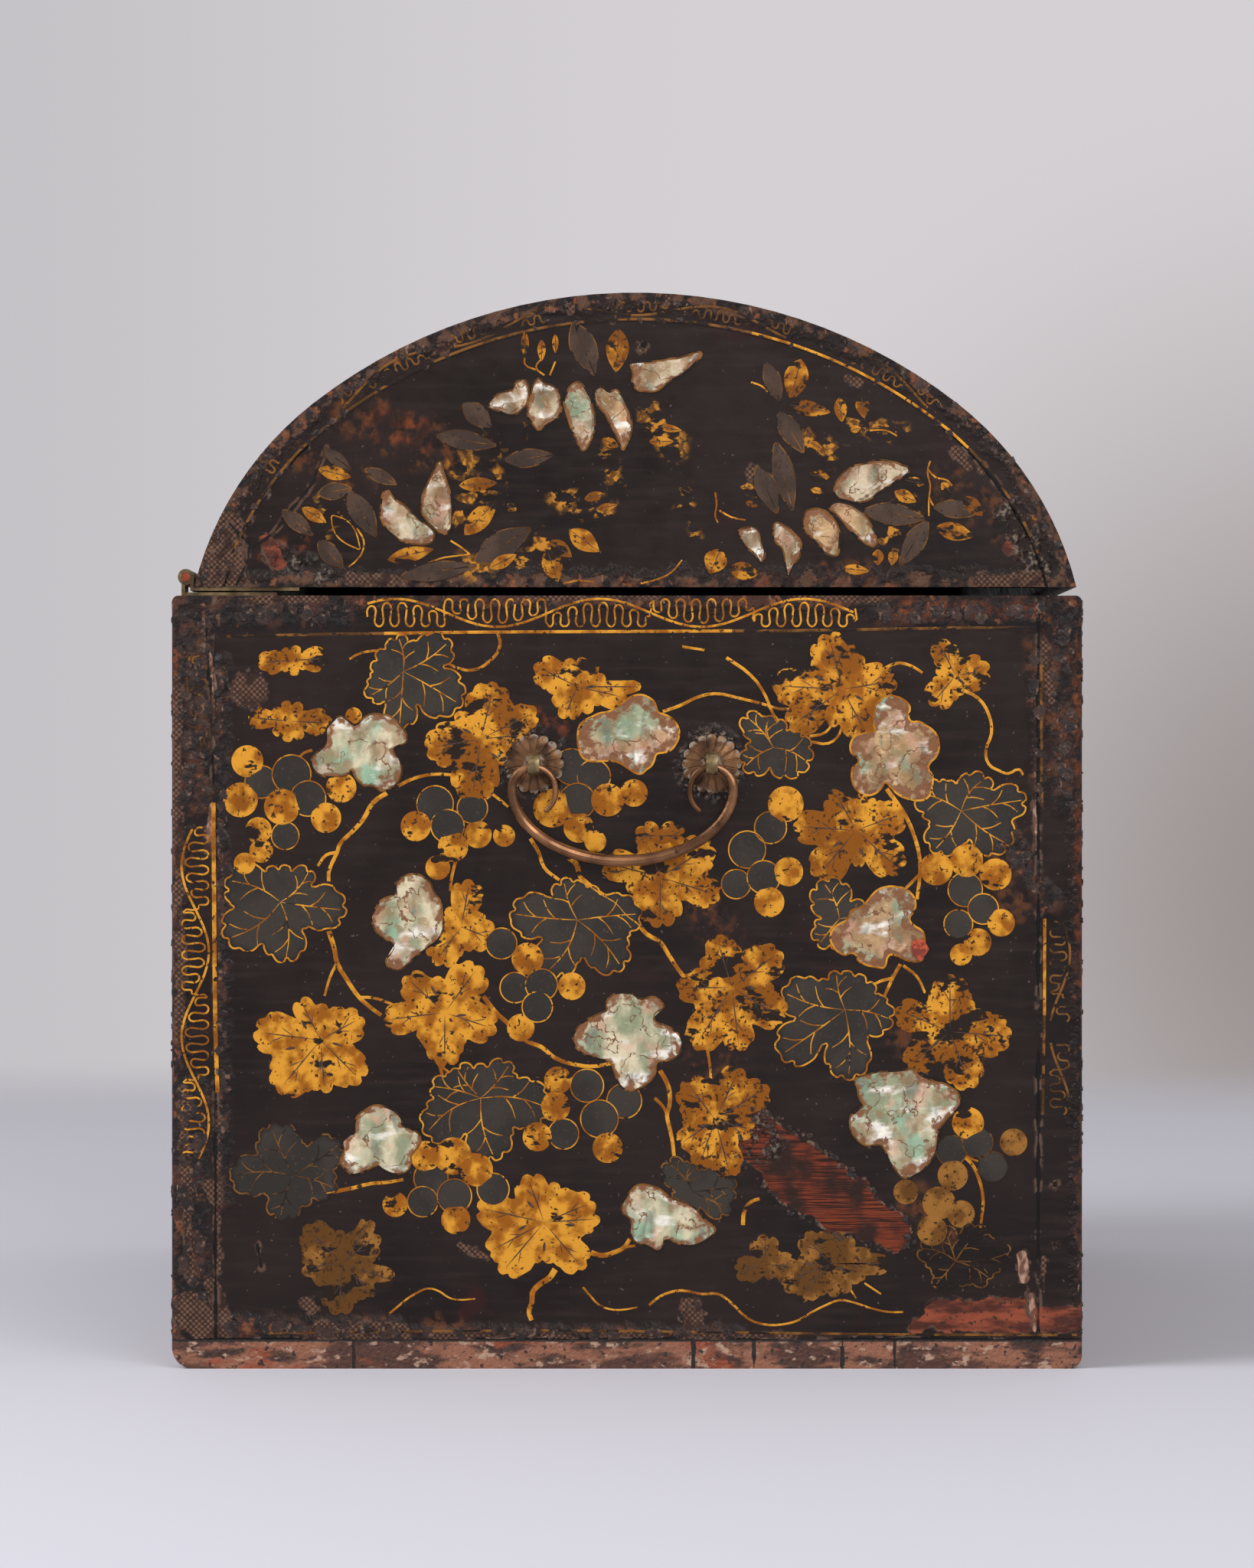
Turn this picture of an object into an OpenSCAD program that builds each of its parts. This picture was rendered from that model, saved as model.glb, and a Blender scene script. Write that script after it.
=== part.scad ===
// Lacquered coffer with a coopered dome lid, bail handles and a front hasp.
// +X runs along the coffer, the front faces -Y, +Z is up.
// The origin is the middle of the underside.

/* [Box] */
// Length of the box along X
box_l = 580; // [460:1:700]
// Depth of the box from front to back
box_w = 330; // [280:1:380]
// Height of the box from the floor to its top edge
box_h = 280; // [240:1:330]
// Thickness of the front and back boards
side_t = 16; // [14:0.5:20]
// Thickness of the two end boards
end_t = 14; // [12:0.5:18]
// Thickness of the bottom board
bottom_t = 10.5; // [8:0.5:14]
// Rounding of the box's outer corners
corner_r = 2.5; // [1:0.5:4]
// Rounding of the bottom board's front edge
foot_front_r = 5; // [1:0.5:7]
// Rounding of the bottom board's worn back edge
foot_back_r = 8; // [1:0.5:8]

/* [Lid] */
// How much narrower the lid is than the box
lid_narrower = 10; // [6:1:20]
// Rise of the lid to its crown, as a share of its width
rise_share = 0.33375; // [0.3:0.00125:0.36]
// How far the lid stands in from each end of the box
lid_end_inset = 3; // [0:0.5:5]
// How far the lid stands forward of the box's middle
lid_forward = 3; // [2:0.5:4]
// Outer radius of the arch's crown, as a share of the lid's width
crown_share = 0.59375; // [0.56:0.00125:0.63]
// Angle from the middle of the crown to each haunch
crown_a = 38; // [34:1:42]
// Thickness of the staves
stave_t = 10.3; // [8:0.1:12]
// Staves across the crown
crown_staves = 9; // [7:2:11]
// Staves down each haunch
haunch_staves = 3; // [3:1:3]
// Thickness of the arched end panels
tympanum_t = 12; // [10:0.5:15]
// How far an arched panel lies behind the stave ends
tympanum_recess = 0.4; // [0.2:0.1:1]

/* [Pegs] */
// Diameter of the wooden pegs
peg_d = 4; // [3:0.5:5]
// How far a peg reaches into the second board
peg_bite = 16; // [12:1:20]
// Pegs up each corner of the box
corner_peg_n = 3; // [2:1:4]
// Pegs along each long edge of the bottom
bottom_peg_n = 6; // [4:1:8]
// Play between a peg or nail and its hole
peg_play = 0.05; // [0.03:0.01:0.08]

/* [Bail handles] */
// Height of the rosettes above the floor
bail_z = 219; // [190:1:230]
// How far both handles stand behind the box's middle
bail_back = 1.5; // [0:0.5:4]
// Half of the bail's width, to the middle of the wire
bail_half_w = 40; // [36:0.5:46]
// Drop from the eyes to the middle of the bail
bail_drop = 33.9; // [28:0.1:40]
// Radius of the curled end
curl_r = 7.8; // [7.2:0.1:8.6]
// How much the curl opens towards its tip
curl_open = 1.3; // [0.5:0.1:2]
// Angle that the curl turns through
curl_turn = 240; // [220:5:260]
// Wire radius at the middle of the bail
wire_mid_r = 2.2; // [1.8:0.1:2.6]
// Wire radius where the curl starts
wire_bend_r = 1.75; // [1.5:0.05:2]
// Wire radius in the eye
wire_eye_r = 1.3; // [1:0.05:1.4]
// Wire radius at the tip
wire_tip_r = 0.95; // [0.7:0.05:1.2]
// Width of the strap bent into an eye
strap_w = 4.2; // [3.5:0.1:4.4]
// Thickness of the strap
strap_t = 1; // [0.8:0.1:1.1]
// Outer radius of the eye
eye_r = 4.05; // [4:0.05:4.4]
// Height that the wire hangs below the eye's middle
wire_sag = 1.1; // [0.9:0.05:1.15]
// Length of each clinched leg inside the box
clinch_l = 10; // [8:1:14]
// Diameter of a rosette over its petals
rosette_d = 21.7; // [20:0.1:24]
// Height of a rosette at its middle
rosette_h = 2.8; // [2.4:0.1:3.2]
// Thickness of a rosette at its rim
rosette_rim = 1.1; // [0.8:0.1:1.4]
// Petals on a rosette
petal_n = 16; // [12:1:20]

/* [Hinges] */
// Length of a hinge barrel along the back edge
hinge_l = 54; // [45:1:70]
// Distance from the end of the box to the barrel
hinge_inset = 4; // [4:0.5:8]
// Thickness of the hinge sheet
leaf_t = 1.3; // [1:0.1:1.5]
// Air between the two leaves when the lid is shut
leaf_gap = 0.6; // [0.4:0.1:1]
// Diameter of a hinge pin
pin_d = 3.2; // [2.8:0.1:3.6]
// Air between neighbouring knuckles
knuckle_gap = 0.4; // [0.3:0.1:0.8]
// Height of the pin above the box's top edge
pin_rise = 6.9; // [6.5:0.1:7.5]
// Air between a barrel and the lid's back edge
barrel_clear = 0.2; // [0.1:0.05:0.4]
// Running clearance of a pin in a knuckle
pin_play = 0.05; // [0.03:0.01:0.08]
// Width of the arm that lies on the back board
box_leaf_w = 14; // [12:0.5:14]
// Length of the arm that lies on the end board
leaf_arm = 38; // [30:1:45]
// Diameter of a leaf nail
nail_d = 2; // [1.6:0.1:2.4]
// Length of a leaf nail under the sheet
nail_l = 12; // [9:1:14]

/* [Hasp and lock] */
// Width of the hasp
hasp_w = 24; // [20:1:28]
// Thickness of the hasp
hasp_t = 1.8; // [1.5:0.1:2]
// Length of the hasp below the staple
hasp_tail = 16; // [13:1:20]
// How far the hasp hangs open at rest
hasp_open = 12; // [12:0.5:14]
// Radius of the hasp's barrel
hasp_barrel_r = 3; // [2.8:0.1:3.4]
// Diameter of the hasp's pin
hasp_pin_d = 3; // [2.6:0.1:3.2]
// Thickness of the leaf that carries the hasp
hasp_leaf_t = 1.2; // [1:0.1:1.4]
// Width of the leaf that carries the hasp
hasp_leaf_w = 36; // [32:1:42]
// Height of that leaf up the lid
hasp_leaf_h = 40; // [34:1:46]
// Width of the escutcheon
escutcheon_w = 64; // [56:1:72]
// Height of the escutcheon
escutcheon_h = 60; // [54:1:66]
// Distance from the box's top edge to the escutcheon
escutcheon_drop = 12; // [8:1:16]
// Thickness of the escutcheon
escutcheon_t = 1.2; // [1:0.1:1.4]
// Outer radius of the staple's eye
staple_r = 6; // [5.5:0.1:6.4]
// Radius of the hole through the staple
staple_hole_r = 3.2; // [2.6:0.1:3.4]
// Thickness of the staple along X
staple_t = 3.2; // [2.8:0.1:3.6]
// Play around the staple in the hasp's slot
slot_play = 1.4; // [1:0.1:2]
// Diameter of a domed nail's head
stud_d = 4.4; // [4:0.1:5]

/* [Hidden] */
$fn = 72;
// A small overrun that keeps cuts clean
e = 0.5;
// The air of a part that is set beside another without touching it
air = 0.2;
half_l = box_l / 2;
half_w = box_w / 2;
wall_h = box_h - bottom_t;
hole_r = peg_d / 2 + peg_play;
end_mid_x = half_l - end_t / 2;
bottom_peg_x = half_l - end_t * 2.5;
bottom_peg_y = half_w - side_t / 2 - 1;
end_peg_y = box_w / 5;
nail_hole_r = nail_d / 2 + peg_play;

// Lid arch, three arcs that meet tangentially
lid_z = box_h + 2 * leaf_t + leaf_gap;
lid_l = box_l - 2 * lid_end_inset;
lid_w = box_w - lid_narrower;
lid_rise = lid_w * rise_share;
crown_r = lid_w * crown_share;
lid_y = -lid_forward;
crown_cz = lid_z + lid_rise - crown_r;
base_y = lid_w / 2;
base_dz = lid_z - crown_cz;
centre_shift = (base_y * base_y + base_dz * base_dz - crown_r * crown_r)
    / (2 * (base_y * sin(crown_a) + base_dz * cos(crown_a) - crown_r));
haunch_r = crown_r - centre_shift;
haunch_y = centre_shift * sin(crown_a);
haunch_cz = crown_cz + centre_shift * cos(crown_a);
base_a = 90 - asin((lid_z - haunch_cz) / haunch_r);
stave_n = crown_staves + 2 * haunch_staves;
// The lowest staves are drawn past this angle, then cut level with the lid's edge
past_base_a = 92;
haunch_step = (base_a - crown_a) / haunch_staves;
crown_step = 2 * crown_a / crown_staves;

// Staves count from the back edge over the crown to the front edge
function on_back(i) = i <= haunch_staves;
function on_front(i) = i > haunch_staves + crown_staves;
function stave_cy(i) = on_back(i) ? haunch_y : on_front(i) ? -haunch_y : 0;
function stave_cz(i) = on_back(i) || on_front(i) ? haunch_cz : crown_cz;
function stave_r(i) = on_back(i) || on_front(i) ? haunch_r : crown_r;
function stave_edge(j) =
    j <= haunch_staves ? base_a - j * haunch_step
    : j <= haunch_staves + crown_staves ? crown_a - (j - haunch_staves) * crown_step
    : -crown_a - (j - haunch_staves - crown_staves) * haunch_step;
function stave_mid(i) = (stave_edge(i - 1) + stave_edge(i)) / 2;
function stave_name(i) = str("stave_", i);

// Hinges
knuckle_r = pin_d / 2 + leaf_t;
pin_z = box_h + pin_rise;
pin_y = lid_y + base_y + barrel_clear + knuckle_r;
hinge_x = -half_l + hinge_inset;
knuckle_l = (hinge_l - 2 * knuckle_gap) / 3;
leaf_arm_w = tympanum_t - 2;
lid_leaf_w = stave_t;
leaf_nail_pitch = hinge_l / 3;
// Share of a leaf's long arm from one nail to the next
arm_nail_share = 0.4;
// Pegs and nails in an arched panel, measured in from the stave ends
stave_peg_in = tympanum_t * 0.7;
lid_nail_in = tympanum_t * 0.3;

// Handles
eye_reach = rosette_h + eye_r + air;
bail_axis_z = bail_z - wire_sag;
curl_c = bail_half_w - curl_r;
petal_overlap = 1.03;
petal_r = rosette_d / 2 / (1 + 1 / sin(180 / petal_n)) * petal_overlap;
petal_groove_r = 0.34;
dome_rise = rosette_h - rosette_rim;
dome_r = (rosette_d * rosette_d / 4 + dome_rise * dome_rise) / (2 * dome_rise);
slot_clear = air;
wire_sides = 12;
bow_steps = 16;
curl_steps = 26;
// Angles round the curl where the wire hangs in its eye and where the curl opens
in_eye_a = 90;
opening_a = 180;
tip_steps = 3;
tip_step_a = 28;

// Hasp and lock
escutcheon_top = box_h - escutcheon_drop;
escutcheon_mid = escutcheon_top - escutcheon_h / 2;
staple_z = escutcheon_mid - escutcheon_h / 6;
plate_y = -half_w - escutcheon_t;
staple_y = plate_y - staple_r + side_t / 8;
front_y = lid_y - haunch_y;
hasp_axis_y = lid_y - base_y - hasp_leaf_t - hasp_barrel_r - 1.5 * air;
hasp_axis_z = lid_z + hasp_barrel_r + 4 * air;
hasp_axis_drop = hasp_axis_z - staple_z;
hasp_barrel_l = (hasp_w - 2 * knuckle_gap) / 3;
stud_inset = stud_d * 1.6;
stud_x = escutcheon_w / 2 - stud_inset;
stud_z = escutcheon_h / 2 - stud_inset;
hasp_nail_x = hasp_leaf_w / 3;
hasp_nail_in = stave_t * 0.8;

// Shared shapes
module along_x(x0, len) {
    translate([x0, 0, 0]) rotate([90, 0, 90]) linear_extrude(len) children();
}

module corner_cut(r, h) {
    difference() {
        cube([r + e, r + e, h]);
        translate([0, 0, -e]) cylinder(r = r, h = h + 2 * e);
    }
}

// Cuts that round a box edge: x edges run along X, z edges stand upright
module round_x_edge(side, z, up, r) {
    translate([-half_l - e, side * (half_w - r), z - up * r])
        mirror([0, side < 0 ? 1 : 0, 0]) mirror([0, 0, up < 0 ? 1 : 0])
            rotate([90, 0, 90]) corner_cut(r, box_l + 2 * e);
}

module round_z_edges(side, r) {
    for (s = [-1, 1])
        translate([s * (half_l - r), side * (half_w - r), -e])
            mirror([s < 0 ? 1 : 0, 0, 0]) mirror([0, side < 0 ? 1 : 0, 0])
                corner_cut(r, box_h + 2 * e);
}

module both_ends() {
    children();
    mirror([1, 0, 0]) children();
}

// Pegs and nails, drawn at radius r so that holes and pegs share one layout. Holes
// run on by over, past the face that they break through
module corner_peg_set(r, over = 0) {
    for (s = [-1, 1], side = [-1, 1], k = [1:corner_peg_n])
        translate([s * end_mid_x, side * half_w,
                   bottom_t + wall_h * k / (corner_peg_n + 1)])
            rotate([side * 90, 0, 0]) translate([0, 0, -over])
                cylinder(r = r, h = side_t + peg_bite + over);
}

module bottom_peg_set(r, over = 0) {
    for (side = [-1, 1], k = [0:bottom_peg_n - 1])
        translate([-bottom_peg_x + k * 2 * bottom_peg_x / (bottom_peg_n - 1),
                   side * bottom_peg_y, -over])
            cylinder(r = r, h = bottom_t + peg_bite + over);
    for (s = [-1, 1], side = [-1, 1])
        translate([s * end_mid_x, side * end_peg_y, -over])
            cylinder(r = r, h = bottom_t + peg_bite + over);
}

module stave_peg(i, r, over = 0) {
    for (s = [-1, 1])
        translate([s * (lid_l / 2 - stave_peg_in), lid_y + stave_cy(i), stave_cz(i)])
            rotate([-stave_mid(i), 0, 0])
                translate([0, 0, stave_r(i) - stave_t - peg_bite])
                    cylinder(r = r, h = stave_t + peg_bite + over);
}

// Places of the nails in the left hinge's leaves, as [x, y] from the barrel's start
box_nail_xy = concat(
    [for (k = [1:2]) [hinge_x + k * leaf_nail_pitch, half_w - side_t * 0.62]],
    [for (k = [1:2]) [-half_l + end_t * 0.6, half_w - side_t - k * (leaf_arm - side_t) * arm_nail_share]]);
lid_nail_xy = concat(
    [for (k = [1:2]) [hinge_x + (k + 0.5) * leaf_nail_pitch,
                      lid_y + base_y - stave_t / 2]],
    [for (k = [1:2]) [-lid_l / 2 + lid_nail_in,
                      lid_y + base_y - stave_t
                          - k * (leaf_arm - stave_t) * arm_nail_share]]);

module box_nail_set(r, over = 0) {
    both_ends() for (p = box_nail_xy)
        translate([p[0], p[1], box_h - nail_l])
            cylinder(r = r, h = nail_l + leaf_t + over);
}

module lid_nail_set(r, over = 0) {
    both_ends() for (p = lid_nail_xy)
        translate([p[0], p[1], lid_z - leaf_t - over])
            cylinder(r = r, h = nail_l + leaf_t + over);
}

// Angles up the front haunch at which the hasp's leaf is nailed
hasp_nail_a = [base_a - haunch_step * 0.6, base_a - haunch_step * 1.3];

module hasp_nail_set(r, over = 0) {
    for (a = hasp_nail_a, s = [-1, 1])
        translate([s * hasp_nail_x, front_y, haunch_cz]) rotate([a, 0, 0])
            translate([0, 0, haunch_r - hasp_nail_in]) {
                cylinder(r = r, h = hasp_nail_in + hasp_leaf_t + over);
                if (over == 0)
                    translate([0, 0, hasp_nail_in + hasp_leaf_t]) stud_head();
            }
}

module escutcheon_nail_set(r, over = 0) {
    for (sx = [-1, 1], sz = [-1, 1])
        translate([sx * stud_x, plate_y, escutcheon_mid + sz * stud_z])
            rotate([-90, 0, 0]) {
                translate([0, 0, -over])
                    cylinder(r = r, h = escutcheon_t + nail_l + over);
                if (over == 0) mirror([0, 0, 1]) stud_head();
            }
}

// A low domed nail head that sits on z = 0
module stud_head() {
    intersection() {
        translate([0, 0, -stud_d / 4]) sphere(d = stud_d * 1.12);
        cylinder(d = stud_d, h = stud_d);
    }
}

// Box boards
module bottom_board() {
    color("#2a2024") difference() {
        translate([-half_l, -half_w, 0]) cube([box_l, box_w, bottom_t]);
        round_x_edge(-1, 0, -1, foot_front_r);
        round_x_edge(1, 0, -1, foot_back_r);
        for (side = [-1, 1]) round_z_edges(side, corner_r);
        bottom_peg_set(hole_r, e);
    }
}

module long_board(side) {
    color("#2a2024") difference() {
        translate([-half_l, side > 0 ? half_w - side_t : -half_w, bottom_t])
            cube([box_l, side_t, wall_h]);
        round_x_edge(side, box_h, 1, corner_r);
        round_z_edges(side, corner_r);
        corner_peg_set(hole_r, e);
        bottom_peg_set(hole_r, e);
        if (side > 0) box_nail_set(nail_hole_r, e);
        if (side < 0) escutcheon_nail_set(nail_hole_r, e);
        if (side < 0) staple_slot();
    }
}

module front_board() long_board(-1);
module back_board() long_board(1);

module left_end_board() {
    color("#2f2328") difference() {
        translate([-half_l, -half_w + side_t, bottom_t])
            cube([end_t, box_w - 2 * side_t, wall_h]);
        corner_peg_set(hole_r, e);
        bottom_peg_set(hole_r, e);
        box_nail_set(nail_hole_r, e);
        for (s = [-1, 1])
            translate([-half_l - e, bail_back + s * curl_c - strap_w / 2 - slot_clear,
                       bail_z - strap_t - slot_clear])
                cube([end_t + 2 * e, strap_w + 2 * slot_clear, 2 * (strap_t + slot_clear)]);
    }
}

module right_end_board() mirror([1, 0, 0]) left_end_board();

module corner_pegs() color("#8a6a44") corner_peg_set(peg_d / 2);
module bottom_pegs() color("#8a6a44") bottom_peg_set(peg_d / 2);

// Bail handles, drawn at the left end, outwards is -X
module rosette(s) {
    color("#7a5232")
        translate([-half_l, bail_back + s * curl_c, bail_z]) rotate([0, -90, 0])
            difference() {
                intersection() {
                    translate([0, 0, rosette_h - dome_r]) sphere(r = dome_r, $fn = 96);
                    linear_extrude(rosette_h + e) {
                        circle(r = rosette_d / 2 - petal_r);
                        for (k = [0:petal_n - 1]) rotate(k * 360 / petal_n)
                            translate([rosette_d / 2 - petal_r, 0])
                                circle(r = petal_r, $fn = 32);
                    }
                }
                for (k = [0:petal_n - 1]) rotate([0, 0, (k + 0.5) * 360 / petal_n])
                    translate([rosette_d * 0.2, 0, rosette_h * 0.97])
                        rotate([0, 90 + atan(dome_rise / (rosette_d * 0.36)), 0])
                            cylinder(r = petal_groove_r, h = rosette_d / 2, $fn = 16);
                translate([-strap_t - slot_clear, -strap_w / 2 - slot_clear, -e])
                    cube([2 * (strap_t + slot_clear), strap_w + 2 * slot_clear,
                          rosette_h + 2 * e]);
            }
}

module left_front_rosette() rosette(-1);
module left_back_rosette() rosette(1);
module right_front_rosette() mirror([1, 0, 0]) rosette(-1);
module right_back_rosette() mirror([1, 0, 0]) rosette(1);

// A strap bent round the wire, its two legs driven through and clinched
module eye(s) {
    leg_in = -end_t - strap_t;
    color("#a08350")
        translate([-half_l, bail_back + s * curl_c + strap_w / 2, bail_z])
            rotate([90, 0, 0]) mirror([1, 0, 0]) linear_extrude(strap_w) {
                translate([eye_reach, 0]) difference() {
                    circle(r = eye_r);
                    circle(r = eye_r - strap_t);
                }
                for (up = [0, 1]) mirror([0, up]) {
                    translate([leg_in, 0])
                        square([eye_reach - eye_r + strap_t * 0.7 - leg_in, strap_t]);
                    translate([leg_in, 0]) square([strap_t, clinch_l]);
                }
            }
}

module left_front_eye() eye(-1);
module left_back_eye() eye(1);
module right_front_eye() mirror([1, 0, 0]) eye(-1);
module right_back_eye() mirror([1, 0, 0]) eye(1);

// Half of the bail's middle line, from its lowest point to the curled tip,
// each point as [across, up, wire radius]
bow_half = [for (k = [0:bow_steps])
    let (a = 90 - 90 * k / bow_steps)
    [bail_half_w * cos(a), -curl_r - (bail_drop - curl_r) * sin(a),
     wire_mid_r + (wire_bend_r - wire_mid_r) * k / bow_steps]];
curl_half = [for (k = [1:curl_steps])
    let (a = curl_turn * k / curl_steps,
         r = curl_r + curl_open * max(0, a - opening_a) / (curl_turn - opening_a),
         w = a < in_eye_a ? wire_bend_r + (wire_eye_r - wire_bend_r) * a / in_eye_a
             : wire_eye_r
                 + (wire_tip_r - wire_eye_r) * (a - in_eye_a) / (curl_turn - in_eye_a))
    [curl_c + r * cos(a), -curl_r + r * sin(a), w]];
tip_dir = [sin(curl_turn), -cos(curl_turn)];
tip_pt = curl_half[curl_steps - 1];
tip_cap = [for (k = [1:tip_steps])
    [tip_pt[0] - tip_dir[0] * wire_tip_r * sin(k * tip_step_a),
     tip_pt[1] - tip_dir[1] * wire_tip_r * sin(k * tip_step_a),
     wire_tip_r * cos(k * tip_step_a)]];
half_line = concat(bow_half, curl_half, tip_cap);
half_n = len(half_line);
bail_line = concat(
    [for (k = [half_n - 1:-1:1]) [-half_line[k][0], half_line[k][1], half_line[k][2]]],
    half_line);

module sweep_wire(line) {
    n = len(line);
    m = wire_sides;
    pts = [for (k = [0:n - 1])
        let (a = line[max(k - 1, 0)],
             b = line[min(k + 1, n - 1)],
             d = [b[0] - a[0], b[1] - a[1]] / norm([b[0] - a[0], b[1] - a[1]]))
        for (j = [0:m - 1])
            let (c = line[k][2] * cos(j * 360 / m), s = line[k][2] * sin(j * 360 / m))
            [s, line[k][0] - d[1] * c, line[k][1] + d[0] * c]];
    sides = [for (k = [0:n - 2], j = [0:m - 1], half = [0, 1])
        let (p = k * m + j, q = k * m + (j + 1) % m)
        half == 0 ? [p, q, q + m] : [p, q + m, p + m]];
    caps = [[for (j = [m - 1:-1:0]) j], [for (j = [0:m - 1]) (n - 1) * m + j]];
    polyhedron(pts, concat(sides, caps), convexity = 6);
}

module left_bail() {
    color("#8b5a3c") translate([-half_l - eye_reach, bail_back, bail_axis_z])
        sweep_wire(bail_line);
}

module right_bail() mirror([1, 0, 0]) left_bail();

// Hinges, drawn at the left end
module knuckle(k) {
    translate([hinge_x + k * (knuckle_l + knuckle_gap), pin_y, pin_z])
        rotate([0, 90, 0]) cylinder(r = knuckle_r, h = knuckle_l);
}

module pin_bore(r) {
    translate([hinge_x - e, pin_y, pin_z]) rotate([0, 90, 0])
        cylinder(r = r, h = hinge_l + 2 * e);
}

module left_box_leaf() {
    k_x = hinge_x + knuckle_l + knuckle_gap;
    color("#8d8050") difference() {
        union() {
            translate([hinge_x, half_w - side_t + 1, box_h])
                cube([hinge_l, pin_y - half_w + side_t - 1, leaf_t]);
            translate([hinge_x, half_w - leaf_arm, box_h])
                cube([end_t - hinge_inset, leaf_arm - side_t + box_leaf_w / 2, leaf_t]);
            translate([k_x, pin_y - knuckle_r, box_h]) cube([knuckle_l, 2 * knuckle_r, leaf_t]);
            translate([k_x, pin_y + knuckle_r - leaf_t, box_h])
                cube([knuckle_l, leaf_t, pin_rise]);
            knuckle(1);
        }
        pin_bore(pin_d / 2 + pin_play);
        box_nail_set(nail_hole_r, e);
    }
}

module left_lid_leaf() {
    color("#8d8050") difference() {
        union() {
            translate([hinge_x, lid_y + base_y - lid_leaf_w, lid_z - leaf_t])
                cube([hinge_l, lid_leaf_w, leaf_t]);
            translate([hinge_x, lid_y + base_y - leaf_arm, lid_z - leaf_t])
                cube([leaf_arm_w, leaf_arm - lid_leaf_w / 2, leaf_t]);
            for (k = [0, 2]) {
                translate([hinge_x + k * (knuckle_l + knuckle_gap),
                           lid_y + base_y - e, lid_z - leaf_t])
                    cube([knuckle_l, barrel_clear + leaf_t + e, leaf_t]);
                translate([hinge_x + k * (knuckle_l + knuckle_gap),
                           pin_y - knuckle_r, lid_z - leaf_t])
                    cube([knuckle_l, leaf_t, pin_z - lid_z + leaf_t]);
                knuckle(k);
            }
        }
        pin_bore(pin_d / 2 + pin_play);
        lid_nail_set(nail_hole_r, e);
    }
}

module left_hinge_pin() {
    color("#a86f55") translate([hinge_x, pin_y, pin_z]) rotate([0, 90, 0])
        cylinder(d = pin_d, h = hinge_l);
}

module right_box_leaf() mirror([1, 0, 0]) left_box_leaf();
module right_lid_leaf() mirror([1, 0, 0]) left_lid_leaf();
module right_hinge_pin() mirror([1, 0, 0]) left_hinge_pin();
module box_leaf_nails() color("#6d5a38") box_nail_set(nail_d / 2);
module lid_leaf_nails() color("#6d5a38") lid_nail_set(nail_d / 2);

// Lid, a coopered arch of staves over two arched end panels
module stave_profile(i) {
    low = i == 1 ? past_base_a : stave_edge(i - 1);
    high = i == stave_n ? -past_base_a : stave_edge(i);
    far = 2 * crown_r;
    intersection() {
        translate([stave_cy(i), stave_cz(i)]) difference() {
            circle(r = stave_r(i), $fn = 180);
            circle(r = stave_r(i) - stave_t, $fn = 180);
        }
        translate([stave_cy(i), stave_cz(i)])
            polygon([[0, 0], [far * sin(low), far * cos(low)],
                     [far * sin(high), far * cos(high)]]);
        translate([-lid_w, lid_z]) square([2 * lid_w, lid_rise + e]);
    }
}

module stave(i) {
    color(i % 2 == 0 ? "#33272b" : "#2a2024") difference() {
        translate([0, lid_y, 0]) along_x(-lid_l / 2, lid_l) stave_profile(i);
        stave_peg(i, hole_r, e);
        if (i == 1) lid_nail_set(nail_hole_r, e);
        if (on_front(i)) hasp_nail_set(nail_hole_r, e);
    }
}

module tympanum_profile() {
    far = 2 * crown_r;
    intersection() {
        union() {
            intersection() {
                translate([0, crown_cz]) circle(r = crown_r - stave_t, $fn = 180);
                translate([0, crown_cz]) polygon([[0, 0],
                    [far * sin(crown_a), far * cos(crown_a)],
                    [-far * sin(crown_a), far * cos(crown_a)]]);
            }
            for (s = [-1, 1]) translate([s * haunch_y, haunch_cz])
                circle(r = haunch_r - stave_t, $fn = 180);
        }
        translate([-lid_w, lid_z]) square([2 * lid_w, lid_rise]);
    }
}

module left_tympanum() {
    color("#2f2328") difference() {
        translate([0, lid_y, 0])
            along_x(-lid_l / 2 + tympanum_recess, tympanum_t) tympanum_profile();
        for (i = [1:stave_n]) stave_peg(i, hole_r, e);
        lid_nail_set(nail_hole_r, e);
    }
}

module right_tympanum() mirror([1, 0, 0]) left_tympanum();

module stave_pegs() {
    color("#8a6a44") for (i = [1:stave_n]) stave_peg(i, peg_d / 2);
}

// Hasp and lock on the front
module hasp_leaf() {
    tip_r = hasp_leaf_w / 2;
    color("#8d8050") difference() {
        union() {
            intersection() {
                translate([-hasp_leaf_w / 2, front_y, haunch_cz]) rotate([0, 90, 0])
                    cylinder(r = haunch_r + hasp_leaf_t, h = hasp_leaf_w, $fn = 180);
                translate([0, front_y, 0]) rotate([90, 0, 0])
                    linear_extrude(haunch_r + 2 * hasp_leaf_t) {
                        translate([-hasp_leaf_w / 2, lid_z])
                            square([hasp_leaf_w, hasp_leaf_h - tip_r]);
                        translate([0, lid_z + hasp_leaf_h - tip_r])
                            circle(r = tip_r);
                    }
            }
            for (s = [-1, 1]) {
                x0 = s < 0 ? -hasp_w / 2 : hasp_w / 2 - hasp_barrel_l;
                translate([x0, hasp_axis_y, hasp_axis_z]) rotate([0, 90, 0])
                    cylinder(r = hasp_barrel_r, h = hasp_barrel_l);
                translate([x0, hasp_axis_y, hasp_axis_z])
                    cube([hasp_barrel_l, hasp_barrel_r + 2.5, hasp_barrel_r]);
            }
        }
        translate([-hasp_w, front_y, haunch_cz]) rotate([0, 90, 0])
            cylinder(r = haunch_r, h = 2 * hasp_w, $fn = 180);
        translate([-hasp_w, hasp_axis_y, hasp_axis_z]) rotate([0, 90, 0])
            cylinder(r = hasp_pin_d / 2 + pin_play, h = 2 * hasp_w);
        hasp_nail_set(nail_hole_r, e);
    }
}

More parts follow.
